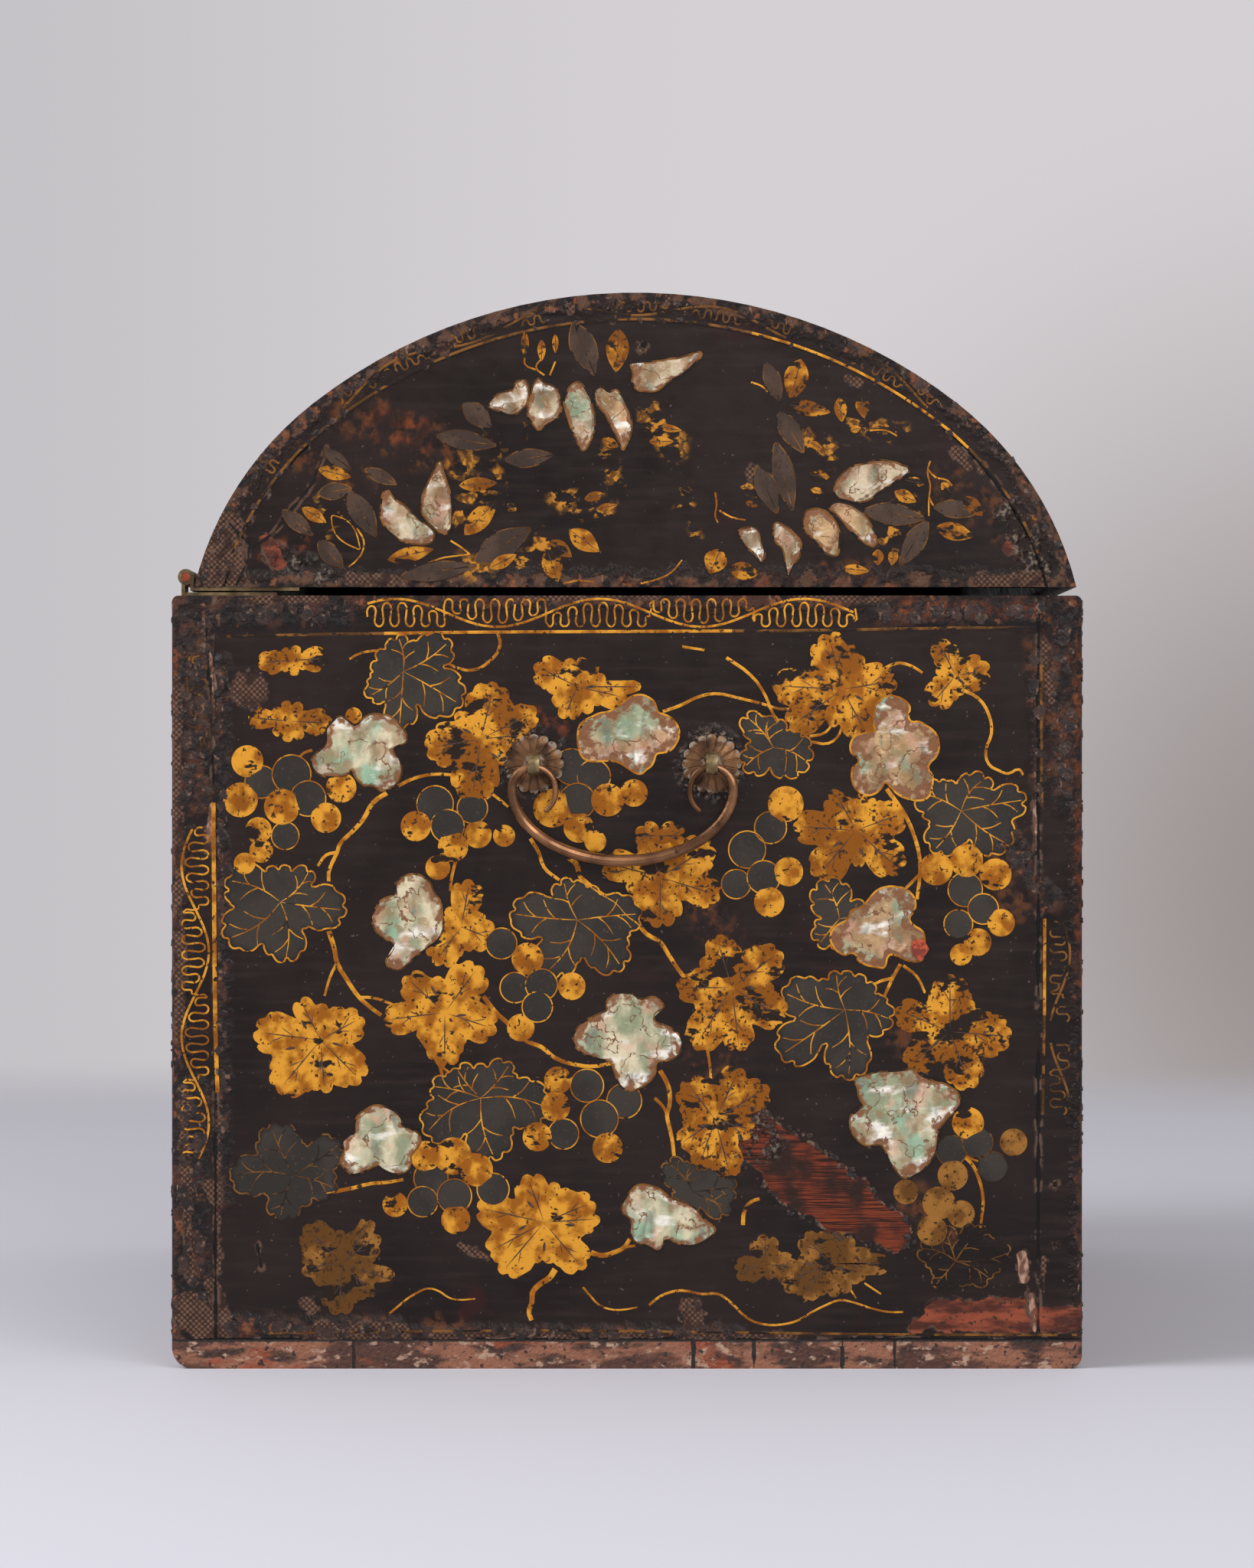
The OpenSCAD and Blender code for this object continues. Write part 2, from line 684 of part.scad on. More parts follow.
module hasp_leaf_nails() color("#6d5a38") hasp_nail_set(nail_d / 2);

module hasp_pin() {
    color("#a86f55") translate([-hasp_w / 2, hasp_axis_y, hasp_axis_z])
        rotate([0, 90, 0]) cylinder(d = hasp_pin_d, h = hasp_w);
}

// The hasp is drawn hanging straight down from its pin, then swung open
module hasp() {
    drop = hasp_axis_drop;
    slot_w = staple_t + 2 * slot_play;
    slot_h = 2 * (staple_r + slot_play);
    tail_r = hasp_w / 2;
    neck_z = 2 * hasp_barrel_r;
    color("#8d8050") translate([0, hasp_axis_y, hasp_axis_z]) rotate([-hasp_open, 0, 0])
        difference() {
            union() {
                translate([-hasp_barrel_l / 2, 0, 0]) rotate([0, 90, 0])
                    cylinder(r = hasp_barrel_r, h = hasp_barrel_l);
                translate([-hasp_barrel_l / 2, -hasp_t / 2, -neck_z - 1])
                    cube([hasp_barrel_l, hasp_t, neck_z + 1]);
                translate([-hasp_w / 2, -hasp_t / 2, -drop - hasp_tail + tail_r])
                    cube([hasp_w, hasp_t, drop + hasp_tail - tail_r - neck_z]);
                translate([0, hasp_t / 2, -drop - hasp_tail + tail_r]) rotate([90, 0, 0])
                    cylinder(r = tail_r, h = hasp_t);
                translate([-hasp_w / 6, -hasp_t / 2, -drop - hasp_tail]) rotate([0, 90, 0])
                    cylinder(r = hasp_t, h = hasp_w / 3);
            }
            translate([-hasp_w, 0, 0]) rotate([0, 90, 0])
                cylinder(r = hasp_pin_d / 2 + pin_play, h = 2 * hasp_w);
            translate([-slot_w / 2, -hasp_t, -drop - slot_h / 2])
                cube([slot_w, 2 * hasp_t, slot_h]);
        }
}

module escutcheon() {
    lobe = escutcheon_h * 0.3;
    color("#8d8050") difference() {
        translate([0, -half_w, escutcheon_mid]) rotate([90, 0, 0])
            linear_extrude(escutcheon_t) {
                square([escutcheon_w, escutcheon_h - 2 * lobe], center = true);
                square([escutcheon_w - 2 * lobe, escutcheon_h], center = true);
                for (sx = [-1, 1], sz = [-1, 1])
                    translate([sx * (escutcheon_w / 2 - lobe), sz * (escutcheon_h / 2 - lobe)])
                        circle(r = lobe);
            }
        escutcheon_nail_set(nail_hole_r, e);
        staple_slot();
    }
}

module escutcheon_nails() color("#6d5a38") escutcheon_nail_set(nail_d / 2);

module staple_slot() {
    translate([-staple_t / 2 - slot_clear, -half_w - escutcheon_t - e,
               staple_z - strap_t - slot_clear])
        cube([staple_t + 2 * slot_clear, side_t + escutcheon_t + 2 * e,
              2 * (strap_t + slot_clear)]);
}

module staple() {
    leg_end = -half_w + side_t;
    color("#8d8050") translate([-staple_t / 2, 0, 0]) rotate([90, 0, 90])
        linear_extrude(staple_t) {
            translate([staple_y, staple_z]) difference() {
                circle(r = staple_r);
                circle(r = staple_hole_r);
                translate([-staple_y + plate_y, -staple_r - e])
                    square([staple_r, 2 * staple_r + 2 * e]);
            }
            for (up = [0, 1]) translate([0, staple_z]) mirror([0, up]) {
                translate([plate_y - 1, 0]) square([leg_end - plate_y + 1 + strap_t, strap_t]);
                translate([leg_end, 0]) square([strap_t, clinch_l]);
            }
        }
}

bottom_board();
front_board();
back_board();
left_end_board();
right_end_board();
corner_pegs();
bottom_pegs();
left_front_rosette();
left_back_rosette();
right_front_rosette();
right_back_rosette();
left_front_eye();
left_back_eye();
right_front_eye();
right_back_eye();
left_bail();
right_bail();
left_box_leaf();
right_box_leaf();
left_lid_leaf();
right_lid_leaf();
left_hinge_pin();
right_hinge_pin();
box_leaf_nails();
lid_leaf_nails();
left_tympanum();
right_tympanum();
for (i = [1:stave_n]) stave(i);
stave_pegs();
hasp_leaf();
hasp_leaf_nails();
hasp_pin();
hasp();
escutcheon();
escutcheon_nails();
staple();
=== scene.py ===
import math
import random

import bmesh
import bpy
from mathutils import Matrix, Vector


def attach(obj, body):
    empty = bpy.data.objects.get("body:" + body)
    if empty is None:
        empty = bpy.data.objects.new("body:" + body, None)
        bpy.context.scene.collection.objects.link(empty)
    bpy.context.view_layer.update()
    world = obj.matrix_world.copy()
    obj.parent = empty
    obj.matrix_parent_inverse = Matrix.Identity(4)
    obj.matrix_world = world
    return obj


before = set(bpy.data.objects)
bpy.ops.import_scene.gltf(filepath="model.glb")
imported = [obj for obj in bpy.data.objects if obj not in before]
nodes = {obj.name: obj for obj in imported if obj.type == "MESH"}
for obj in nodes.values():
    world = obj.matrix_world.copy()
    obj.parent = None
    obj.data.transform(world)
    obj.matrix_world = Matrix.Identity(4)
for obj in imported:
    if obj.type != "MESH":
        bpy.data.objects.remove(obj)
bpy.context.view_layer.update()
bpy.ops.object.select_all(action="DESELECT")


# Floor, light and camera
# The coffer stands on a plain pale floor that fades into a grey backdrop. The backdrop
# is painted darker towards the left as painted shade, and carries a painted shadow of
# the coffer to its right. A wide soft lamp hangs at the upper left and a weak one fills
# from the front right. The camera looks straight at the left end from 2.2 m.
def paint(red, green, blue):
    """A colour as it looks in the photograph, turned into the linear values of a shader."""
    return tuple(c / 3294.6 if c <= 10 else ((c / 255 + 0.055) / 1.055) ** 2.4
                 for c in (red, green, blue)) + (1.0,)


def wire(tree, node, inputs):
    """Gives each of these inputs of a node its link or its constant."""
    for name, value in inputs.items():
        if isinstance(value, bpy.types.NodeSocket):
            tree.links.new(value, node.inputs[name])
        else:
            node.inputs[name].default_value = value


def add_node(tree, kind, inputs, **settings):
    """Adds a node with these settings and inputs, and gives its outputs."""
    node = tree.nodes.new(kind)
    for name, value in settings.items():
        setattr(node, name, value)
    wire(tree, node, inputs)
    return node.outputs


def eased(tree, value, low, high):
    """0 at low and 1 at high, eased between them."""
    ends = {"From Min": min(low, high), "From Max": max(low, high)}
    if high < low:
        ends.update({"To Min": 1.0, "To Max": 0.0})
    return add_node(tree, "ShaderNodeMapRange", {"Value": value, **ends},
                    interpolation_type="SMOOTHSTEP")["Result"]


def mixed(tree, part, a, b):
    """Colour a, turning to b where part is 1."""
    return add_node(tree, "ShaderNodeMix", {0: part, 6: a, 7: b}, data_type="RGBA")[2]


bpy.ops.mesh.primitive_circle_add(vertices=96, radius=2.3, fill_type="NGON", location=(0, 0, 0))
floor = bpy.context.object
floor.name = "floor"
bpy.ops.object.mode_set(mode="EDIT")
bpy.ops.mesh.select_all(action="SELECT")
bpy.ops.mesh.inset(thickness=0.5)
bpy.ops.object.mode_set(mode="OBJECT")
floor_paint = bpy.data.materials.new("floor_paint")
floor_paint.use_nodes = True
tree = floor_paint.node_tree
wire(tree, tree.nodes["Principled BSDF"], {"Base Color": paint(220, 222, 237), "Roughness": 0.75})
place = add_node(tree, "ShaderNodeTexCoord", {})["Object"]
reach = add_node(tree, "ShaderNodeVectorMath", {0: place}, operation="LENGTH")["Value"]
clear = add_node(tree, "ShaderNodeBsdfTransparent", {})["BSDF"]
join = add_node(tree, "ShaderNodeMixShader", {
    "Fac": eased(tree, reach, 1.35, 2.25), 1: tree.nodes["Principled BSDF"].outputs["BSDF"], 2: clear})
wire(tree, tree.nodes["Material Output"], {"Surface": join["Shader"]})
floor.data.materials.append(floor_paint)

world = bpy.data.worlds.new("room")
world.use_nodes = True
bpy.context.scene.world = world
tree = world.node_tree
# The backdrop seen straight on is painted: darker towards the left as painted shade, with a painted
# shadow of the coffer on the wall to its right.
toward = add_node(tree, "ShaderNodeTexCoord", {})["Generated"]
leftward = add_node(tree, "ShaderNodeSeparateXYZ", {0: toward})["Y"]
painted_side_shade = mixed(tree, eased(tree, leftward, -0.02, 0.13), paint(212, 208, 211), paint(196, 193, 198))
# A darker grey patch round one direction, right of the coffer and just above the floor, is its painted
# shadow on the wall.
painted_shadow_offset = add_node(tree, "ShaderNodeVectorMath", {0: toward, 1: (0.994, -0.125, -0.02)},
                     operation="SUBTRACT")["Vector"]
painted_wall_shadow = add_node(tree, "ShaderNodeVectorMath", {0: painted_shadow_offset}, operation="LENGTH")["Value"]
shade = mixed(tree, eased(tree, painted_wall_shadow, 0.14, 0.0), painted_side_shade, paint(150, 141, 139))
backdrop = add_node(tree, "ShaderNodeBackground", {"Color": shade, "Strength": 1.0})["Background"]
soft = tree.nodes["Background"]
wire(tree, soft, {"Color": (1.0, 0.955, 0.91, 1.0), "Strength": 0.42})
rays = add_node(tree, "ShaderNodeLightPath", {})
through = add_node(tree, "ShaderNodeMath", {0: rays["Is Glossy Ray"], 1: rays["Is Transmission Ray"]},
                   operation="ADD")["Value"]
seen = add_node(tree, "ShaderNodeMath", {0: rays["Is Camera Ray"], 1: through},
                operation="ADD", use_clamp=True)["Value"]
either = add_node(tree, "ShaderNodeMixShader",
                  {"Fac": seen, 1: soft.outputs["Background"], 2: backdrop})
wire(tree, tree.nodes["World Output"], {"Surface": either["Shader"]})


def softbox(name, where, watts):
    """A square soft lamp at that place, turned to the middle of the coffer."""
    bpy.ops.object.light_add(type="AREA", location=where)
    lamp = bpy.context.object
    lamp.name = name
    lamp.data.size = 1.6
    lamp.data.energy = watts
    lamp.data.color = (1.0, 0.97, 0.93)
    lamp.rotation_euler = (Vector((0, 0, 0.2)) - Vector(where)).to_track_quat("-Z", "Y").to_euler()


softbox("upper_left_lamp", (-1.1, 1.9, 1.7), 44)
softbox("front_lamp", (-2.6, -0.9, 1.5), 26)

METRES_PER_PIXEL = 0.0002773
VIEW_HIGH = 2048 * METRES_PER_PIXEL
FLOOR_BELOW = 0.0722
LEFT_END, CAMERA_BACK = -0.290, 2.2
SENSOR_MM = 36
bpy.ops.object.camera_add(location=(LEFT_END - CAMERA_BACK, 0, VIEW_HIGH / 2 - FLOOR_BELOW))
camera = bpy.context.object
camera.rotation_euler = (math.radians(90), 0, math.radians(-90))
camera.data.sensor_width = SENSOR_MM
camera.data.lens = SENSOR_MM * CAMERA_BACK / VIEW_HIGH
bpy.context.scene.camera = camera
bpy.context.scene.view_settings.view_transform = "Standard"


# Box boards
# Five boards of soft wood under cloth and black lacquer. The long boards lap the ends
# and the bottom is pegged on from below, so old cracks follow these joints. Edges are
# rubbed to the brown ground, and at the left end larger losses show cloth and wood.
# The rubbed film carries painted glints of light.
class Pattern:
    """A number that varies over a finish. Arithmetic with patterns gives new patterns."""

    def __init__(self, finish, socket):
        self.finish, self.socket = finish, socket

    def __add__(self, other):
        return self.finish.calc("ADD", self, other)

    def __sub__(self, other):
        return self.finish.calc("SUBTRACT", self, other)

    def __rsub__(self, other):
        return self.finish.calc("SUBTRACT", other, self)

    def __mul__(self, other):
        return self.finish.calc("MULTIPLY", self, other)

    def __abs__(self):
        return self.finish.calc("ABSOLUTE", self)


class Finish:
    """A finish as shader nodes. Its patterns read the piece's own coordinates, in metres."""

    def __init__(self, name, metallic=0.0, coat=0.0, specular=0.5):
        self.material = bpy.data.materials.new(name)
        self.material.use_nodes = True
        self.tree = self.material.node_tree
        self.feed({"Metallic": metallic, "Coat Weight": coat, "Coat Roughness": 0.12,
                   "Specular IOR Level": specular})
        self.where = self.node("ShaderNodeTexCoord", {})["Object"]
        split = self.node("ShaderNodeSeparateXYZ", {0: self.where})
        self.x, self.y, self.z = (Pattern(self, socket) for socket in split)

    def feed(self, inputs):
        """Sets or links these inputs of the main shader."""
        wire(self.tree, self.tree.nodes["Principled BSDF"], self.sockets(inputs))

    def sockets(self, inputs):
        """The same inputs with each pattern replaced by its socket."""
        return {name: value.socket if isinstance(value, Pattern) else value
                for name, value in inputs.items()}

    def node(self, kind, inputs, **settings):
        return add_node(self.tree, kind, self.sockets(inputs), **settings)

    def calc(self, operation, a, b=0.0):
        return Pattern(self, self.node("ShaderNodeMath", {0: a, 1: b}, operation=operation)[0])

    def mask(self, value, low, high):
        return Pattern(self, eased(self.tree, value.socket, low, high))

    def blend(self, part, a, b):
        return mixed(self.tree, part.socket, a, b)

    def grain(self, size, stretch=(1, 1, 1), detail=3.0, shift=0.0):
        """Soft noise from 0 to 1 with lumps of about that size in metres."""
        place = self.node("ShaderNodeMapping", {
            "Vector": self.where, "Scale": [s / size for s in stretch],
            "Location": (shift, shift * 0.7, shift * 1.3)})["Vector"]
        noise = {"Vector": place, "Scale": 1.0, "Detail": detail}
        return Pattern(self, self.node("ShaderNodeTexNoise", noise)["Fac"])

    def spots(self, low, high, *grain, **how):
        """1 in the patches where the grain passes high, 0 where it is under low."""
        return self.mask(self.grain(*grain, **how), low, high)

    def patched(self, a, b, low, high, *grain, **how):
        """Colour a with patches of colour b."""
        return self.blend(self.spots(low, high, *grain, **how), a, b)

    def told(self, name):
        """A value kept at each point: inset is 1 in a motif's middle and 0 at its edge,
        age is 0 for a fresh motif and 1 for a badly worn one."""
        return Pattern(self, self.node("ShaderNodeAttribute", {}, attribute_name=name)["Fac"])

    def wander(self, size, amount, shift=0.0):
        """Noise centred on 0 that goes about amount each way."""
        return (self.grain(size, detail=4.0, shift=shift) - 0.5) * (amount * 4)

    def least(self, value, *others):
        for other in others:
            value = self.calc("MINIMUM", value, other)
        return value

    def most(self, a, b):
        return self.calc("MAXIMUM", a, b)

    def middle(self, a, b, c):
        """The middle one of three values."""
        return self.most(self.least(a, b), self.least(self.most(a, b), c))

    def vector(self, operation, a, b=(0, 0, 0), **scale):
        return self.node("ShaderNodeVectorMath", {0: a, 1: b, **scale}, operation=operation)["Vector"]

    def length(self, a):
        return Pattern(self, self.node("ShaderNodeVectorMath", {0: a}, operation="LENGTH")["Value"])

    def off_bands(self, bands):
        """Distance outside the nearest band on an end, each (y, z, y, z, half width) in mm."""
        flat = self.vector("MULTIPLY", self.where, (0, 1, 1))
        offs = []
        for y0, z0, y1, z1, half in bands:
            run = (0, (y1 - y0) / 1000, (z1 - z0) / 1000)
            size = run[1] ** 2 + run[2] ** 2
            past = self.vector("SUBTRACT", flat, (0, y0 / 1000, z0 / 1000))
            if size > 0:
                dot = self.node("ShaderNodeVectorMath", {0: past, 1: run}, operation="DOT_PRODUCT")
                along = Pattern(self, dot["Value"]) * (1 / size)
                along = self.least(self.most(along, 0.0), 1.0)
                past = self.vector("SUBTRACT", past, self.vector("SCALE", run, Scale=along))
            offs.append(self.length(past) - half / 1000)
        return self.least(*offs)

    def close(self, colour, roughness, height=None, depth=0.0003):
        """Joins colour, roughness and relief to the shader."""
        self.feed({"Base Color": colour, "Roughness": roughness})
        if height is not None:
            relief = {"Strength": 1.0, "Distance": depth, "Height": height}
            self.feed({"Normal": self.node("ShaderNodeBump", relief)["Normal"]})
        return self.material


def finish_nodes(material, *names):
    """Gives these CAD nodes that finish."""
    for name in names:
        nodes[name].data.materials.clear()
        nodes[name].data.materials.append(material)


BOX_HALF_LONG, BOX_HALF_WIDE, BOX_HIGH = 290, 165, 280
ROSETTES = ((33.7, 219), (-30.7, 219))
THREAD = 0.0021
LOSS_GROUNDS = {
    "wood": ((40, 17, 11), (130, 56, 30), 0.38, 0.62, 0.0005, (1, 0.03, 1), 2.0),
    "red": ((76, 38, 28), (150, 76, 52), 0.4, 0.62, 0.004, (1, 0.25, 1), 5.0),
    "rust": ((48, 26, 20), (118, 60, 30), 0.4, 0.62, 0.005, (1, 1, 0.5), 5.0),
    "pale": ((110, 74, 62), (186, 148, 128), 0.4, 0.6, 0.002, (1, 1, 0.5), 4.0),
    "gilt": ((104, 66, 22), (198, 134, 44), 0.44, 0.56, 0.0022, (1, 1, 1), 5.0, 17.0),
    "haze": ((40, 28, 26), (92, 54, 30), 0.4, 0.65, 0.006, (1, 1, 1), 5.0),
    "dirt": ((34, 26, 24), (128, 114, 100), 0.46, 0.62, 0.0018, (1, 1, 1), 5.0),
}


def loss_ground(f, kind, film):
    """What shows inside a loss of that kind."""
    if kind == "hole":
        return paint(13, 10, 9)
    if kind == "crazed":
        return f.patched(paint(27, 21, 21), film, 0.44, 0.56, 0.009, detail=6.0, shift=6.0)
    if kind == "cloth":
        warp, weft = (f.calc("SINE", (way + f.wander(0.008, 0.0002)) * (2 * math.pi / THREAD))
                      for way in (f.y, f.z))
        weave = f.mask(warp * weft + f.wander(0.003, 0.3), -0.3, 0.6)
        cloth = f.blend(weave, paint(58, 40, 32), paint(116, 84, 66))
        return f.patched(cloth, paint(52, 32, 26), 0.5, 0.64, 0.006, detail=4.0, shift=9.0)
    deep, pale, *grain = LOSS_GROUNDS[kind]
    ground = f.patched(paint(*deep), paint(*pale), *grain)
    if kind == "wood":
        ground = f.patched(ground, paint(44, 26, 20), 0.47, 0.64, 0.015, detail=4.0, shift=6.0)
    if kind == "red":
        ground = f.patched(ground, paint(64, 40, 32), 0.58, 0.66, 0.0018, detail=5.0, shift=14.0)
    return ground


def lacquer(name, edge_of, losses, cracks, rubbed=paint(74, 46, 36)):
    """Black lacquer over a brown ground. edge_of gives the distance to the nearest edge, losses
    the damage at the left end, and cracks the distance to the nearest open joint."""
    f = Finish(name, coat=0.04, specular=0.2)
    black = f.patched(paint(24, 15, 13), paint(37, 26, 23), 0.35, 0.65, 0.05, detail=4.0)
    black = f.patched(black, paint(42, 31, 28), 0.45, 0.75, 0.0035, (0.12, 0.12, 1), shift=3.0)
    black = f.patched(black, paint(46, 19, 19), 0.62, 0.78, 0.024, detail=6.0, shift=9.0)
    black = f.patched(black, paint(88, 74, 70), 0.73, 0.79, 0.0016, detail=1.0, shift=5.0)
    film = f.patched(paint(32, 24, 23), rubbed, 0.44, 0.56, 0.007, detail=6.0, shift=1.0)
    film = f.patched(film, paint(124, 74, 48), 0.58, 0.66, 0.004, detail=6.0, shift=2.0)
    # The pale stretched specks are painted glints of light on the broken film.
    film = f.patched(film, paint(138, 114, 96), 0.65, 0.72, 0.0016, (1, 1, 0.4), 5.0, 4.0)

    torn = edge_of(f) + f.wander(0.010, 0.0024) + f.wander(0.0025, 0.0008)
    bare = f.mask(torn, 0.0040, 0.0030)
    rim = f.mask(torn, 0.0048, 0.0042) * f.spots(0.5, 0.6, 0.004, detail=5.0, shift=7.0)
    colour = f.blend(f.most(rim, bare), black, film)
    rugged = f.mask(torn, 0.0075, 0.004) * 0.8
    on_end = f.mask(f.x, -0.2860, -0.2862)

    for kind, places, rag in losses:
        off = f.off_bands(places) + f.wander(0.007, rag / 1000, shift=4.0)
        ground = loss_ground(f, kind, film)
        if kind in ("haze", "rust", "gilt", "dirt", "crazed"):
            inside = f.mask(off, 0.003, -0.002) * on_end
            if kind == "gilt":
                inside = inside * f.spots(0.53, 0.57, 0.004, (1, 0.6, 1), 6.0, 11.0)
            elif kind != "crazed":
                inside = inside * f.spots(0.4, 0.58, 0.004, detail=5.0, shift=11.0)
            if kind in ("dirt", "crazed"):
                rugged = f.most(rugged, inside)
        else:
            inside = f.mask(off, 0.0003, -0.0003) * on_end
            # A pale broken rim of lacquer round each loss, lightened further as a painted edge
            # highlight.
            pale_lip_and_highlight = f.mask(off, 0.0013, 0.0005) * on_end * f.spots(0.5, 0.6, 0.005, detail=6.0, shift=8.0)
            colour = f.blend(pale_lip_and_highlight, colour, paint(124, 100, 84) if kind == "wood" else paint(90, 66, 54))
            bare = f.most(bare, inside)
        colour = f.blend(inside, colour, ground)

    split = cracks(f) + f.wander(0.012, 0.0006, shift=12.0)
    crumbs = f.mask(split, 0.0020, 0.0008) * f.spots(0.53, 0.62, 0.006, detail=5.0, shift=13.0)
    colour = f.blend(crumbs, colour, paint(98, 76, 64))
    open_joint = f.mask(split, 0.0007, 0.0003) * f.spots(0.40, 0.50, 0.03, shift=19.0)
    colour = f.blend(open_joint, colour, paint(12, 9, 9))

    rough = f.most(f.spots(0.3, 0.7, 0.008, detail=5.0, shift=15.0) * 0.16 + 0.25, bare * 0.5)
    gritty = rugged * 4.0 + (bare + 0.03)
    height = (1.0 - bare) * 0.7 + f.grain(0.0026, (1, 0.8, 0.8), detail=5.0) * gritty
    height = height - f.most(open_joint, crumbs) + f.grain(0.018, (1, 1, 1.6), detail=2.0) * 0.5
    return f.close(colour, rough, height, 0.0005)


def box_edge(f):
    """Distance to the box's nearest edge. The front strip is rubbed less."""
    a = BOX_HALF_LONG / 1000 - abs(f.x)
    b = BOX_HALF_WIDE / 1000 - abs(f.y) + f.mask(f.y, -0.140, -0.150) * 0.0018
    return f.middle(a, b, f.least(f.z, BOX_HIGH / 1000 - f.z))


def box_cracks(f):
    """The upright joints show on the ends, the bottom joint all round."""
    off_end = 1.0 - f.mask(abs(f.x), 0.2885, 0.2895)
    upright = abs(abs(f.y) - 0.149) + off_end * 0.01
    return f.least(upright, abs(f.z - 0.0105))


BOX_LOSSES = [
    ("crazed", [(157, 268, 157, 206, 6.5), (158, 100, 157, 24, 5), (-158, 268, -158, 205, 4),
                (146, 273.5, 104, 273.5, 5), (-92, 274, -150, 274, 4.5), (147, 256, 146.5, 60, 1.6),
                (-148.5, 256, -148.5, 205, 1.6), (-136, 193, -153, 168, 3.6), (146, 15, 84, 14, 3.5),
                (80, 13, -40, 12.5, 1.6)], 1.4),
    ("haze", [(-14, 185, -40, 150, 6), (-30, 110, -38, 78, 8), (-100, 120, -124, 114, 5),
              (-106, 60, -112, 48, 6), (-134, 200, -142, 170, 8), (-150, 262, -158, 215, 5),
              (155, 262, 155, 205, 4), (110, 16, 60, 14, 4)], 3.0),
    ("rust", [(47, 226, 43, 233, 1.6), (43, 233, 34, 236.5, 2.2), (34, 236.5, 24, 232, 1.6),
              (-163.8, 204, -164, 130, 0.8), (163.5, 262, 164, 205, 1.2),
              (-161, 262, -163, 216, 1.0), (-143, 275, -100, 275.5, 1.8)], 1.4),
    ("dirt", [(33.7, 219, 33.7, 219, 12), (-30.7, 219, -30.7, 219, 12)], 1.2),
    ("wood", [(-46, 84, -62, 72, 9), (-60, 72, -79, 60, 11), (-78, 59, -96, 49.5, 6.5)], 1.8),
    ("dirt", [(-44, 86, -50, 82, 6)], 1.0),
    ("red", [(-114, 19.2, -144, 19.2, 6), (-105, 15.5, -114, 20, 2.6), (-144, 18, -163, 18, 5)], 1.6),
    ("cloth", [(137, 246, 137, 245, 6), (-151, 264, -154, 242, 1.6),
               (153, 268, 150, 240, 1.6), (151, 196, 152, 188, 1.0), (148.5, 98, 148.3, 36, 1.0),
               (163, 250, 162, 120, 1.5), (161, 100, 158, 32, 1.8), (151, 66, 149, 62, 2.5),
               (159, 22, 146, 8, 6), (150, 30, 146, 16, 2.5), (112, 14, 82, 13, 3.2),
               (117, 24, 114, 21.5, 2), (-23, 22, -25, 14, 3.6), (-143.5, 38, -144, 33, 1.6),
               (-145, 30, -148, 14, 1.0), (134, 45, 132.5, 37, 0.7), (61, 45, 51, 40.5, 0.9),
               (70, 12, 20, 11, 1.6), (10, 11.5, -60, 12, 1.2), (-155, 67, -155, 66, 1.5),
               (-155, 45, -155, 44, 1.2), (-151, 40, -151, 28, 0.8), (40, 279, -20, 279.5, 0.8),
               (-60, 279, -95, 279, 0.9), (140, 278.5, 110, 279, 1.2)], 1.1),
    ("pale", [(-143.2, 41, -144, 32, 1.3), (-146.5, 27, -147.6, 14, 0.9), (151.5, 264, 149.5, 245, 0.7),
              (150.5, 204, 150.8, 192, 0.7), (-147.5, 205, -148.2, 188, 0.6), (62, 10.5, 30, 10.8, 0.6),
              (144, 9, 110, 10, 0.7)], 1.0),
    ("hole", [(-155, 67, -155, 66.6, 0.9), (-155, 45, -155, 44.8, 0.8), (134, 45, 132.5, 37, 0.5),
              (152.5, 271, 151.5, 250, 0.5), (151, 250, 149.6, 212, 0.35)], 0.5),
]
box_lacquer = lacquer("box_lacquer", box_edge, BOX_LOSSES, box_cracks)
finish_nodes(box_lacquer, "front_board", "back_board", "left_end_board", "right_end_board")

f = Finish("foot_lacquer")
worn = f.patched(paint(60, 34, 25), paint(148, 96, 72), 0.40, 0.58, 0.0045, (1, 0.3, 1), 7.0)
worn = f.patched(worn, paint(80, 46, 34), 0.50, 0.60, 0.009, (1, 0.3, 1), 6.0, 3.0)
worn = f.patched(worn, paint(148, 70, 40), 0.58, 0.66, 0.010, (1, 0.3, 1), 6.0, 12.0)
# These pale flecks are painted highlights on the rough worn ground.
worn = f.patched(worn, paint(182, 148, 126), 0.56, 0.68, 0.0026, (1, 0.6, 1), 6.0, 8.0)
worn = f.patched(worn, paint(38, 25, 21), 0.59, 0.66, 0.0016, (1, 0.7, 1), 5.0, 15.0)
splits = f.least(*[abs(f.y - y / 1000) for y in (99, -24, -46, -78, -97)]) + f.wander(0.006, 0.0006)
crack = f.mask(splits, 0.0006, 0.0003) * f.mask(f.x, -0.2890, -0.2895)
joint = f.mask(0.0105 - f.z, 0.0011, 0.0004)
worn = f.blend(f.most(crack, joint), worn, paint(14, 10, 10))
finish_nodes(f.close(worn, 0.62, f.grain(0.0018, detail=5.0) - crack * 1.5, 0.0012), "bottom_board")


# Pegs
# Split wooden pegs hold the boards and staves. They are driven flush from outside, and
# lacquer hides their ends except under the bottom.
def peg_wood(name, covered=None):
    """Split wood, black where covered gives 1."""
    f = Finish(name, specular=0.2)
    wood = f.patched(paint(112, 82, 52), paint(146, 112, 74), 0.4, 0.6, 0.0008, (1, 1, 0.2))
    if covered:
        wood = f.blend(covered(f), wood, paint(31, 22, 20))
    return f.close(wood, 0.4)


finish_nodes(peg_wood("bottom_peg_wood"), "bottom_pegs")
finish_nodes(peg_wood("corner_peg_wood", lambda f: f.mask(abs(f.y), 0.1640, 0.1645)), "corner_pegs")


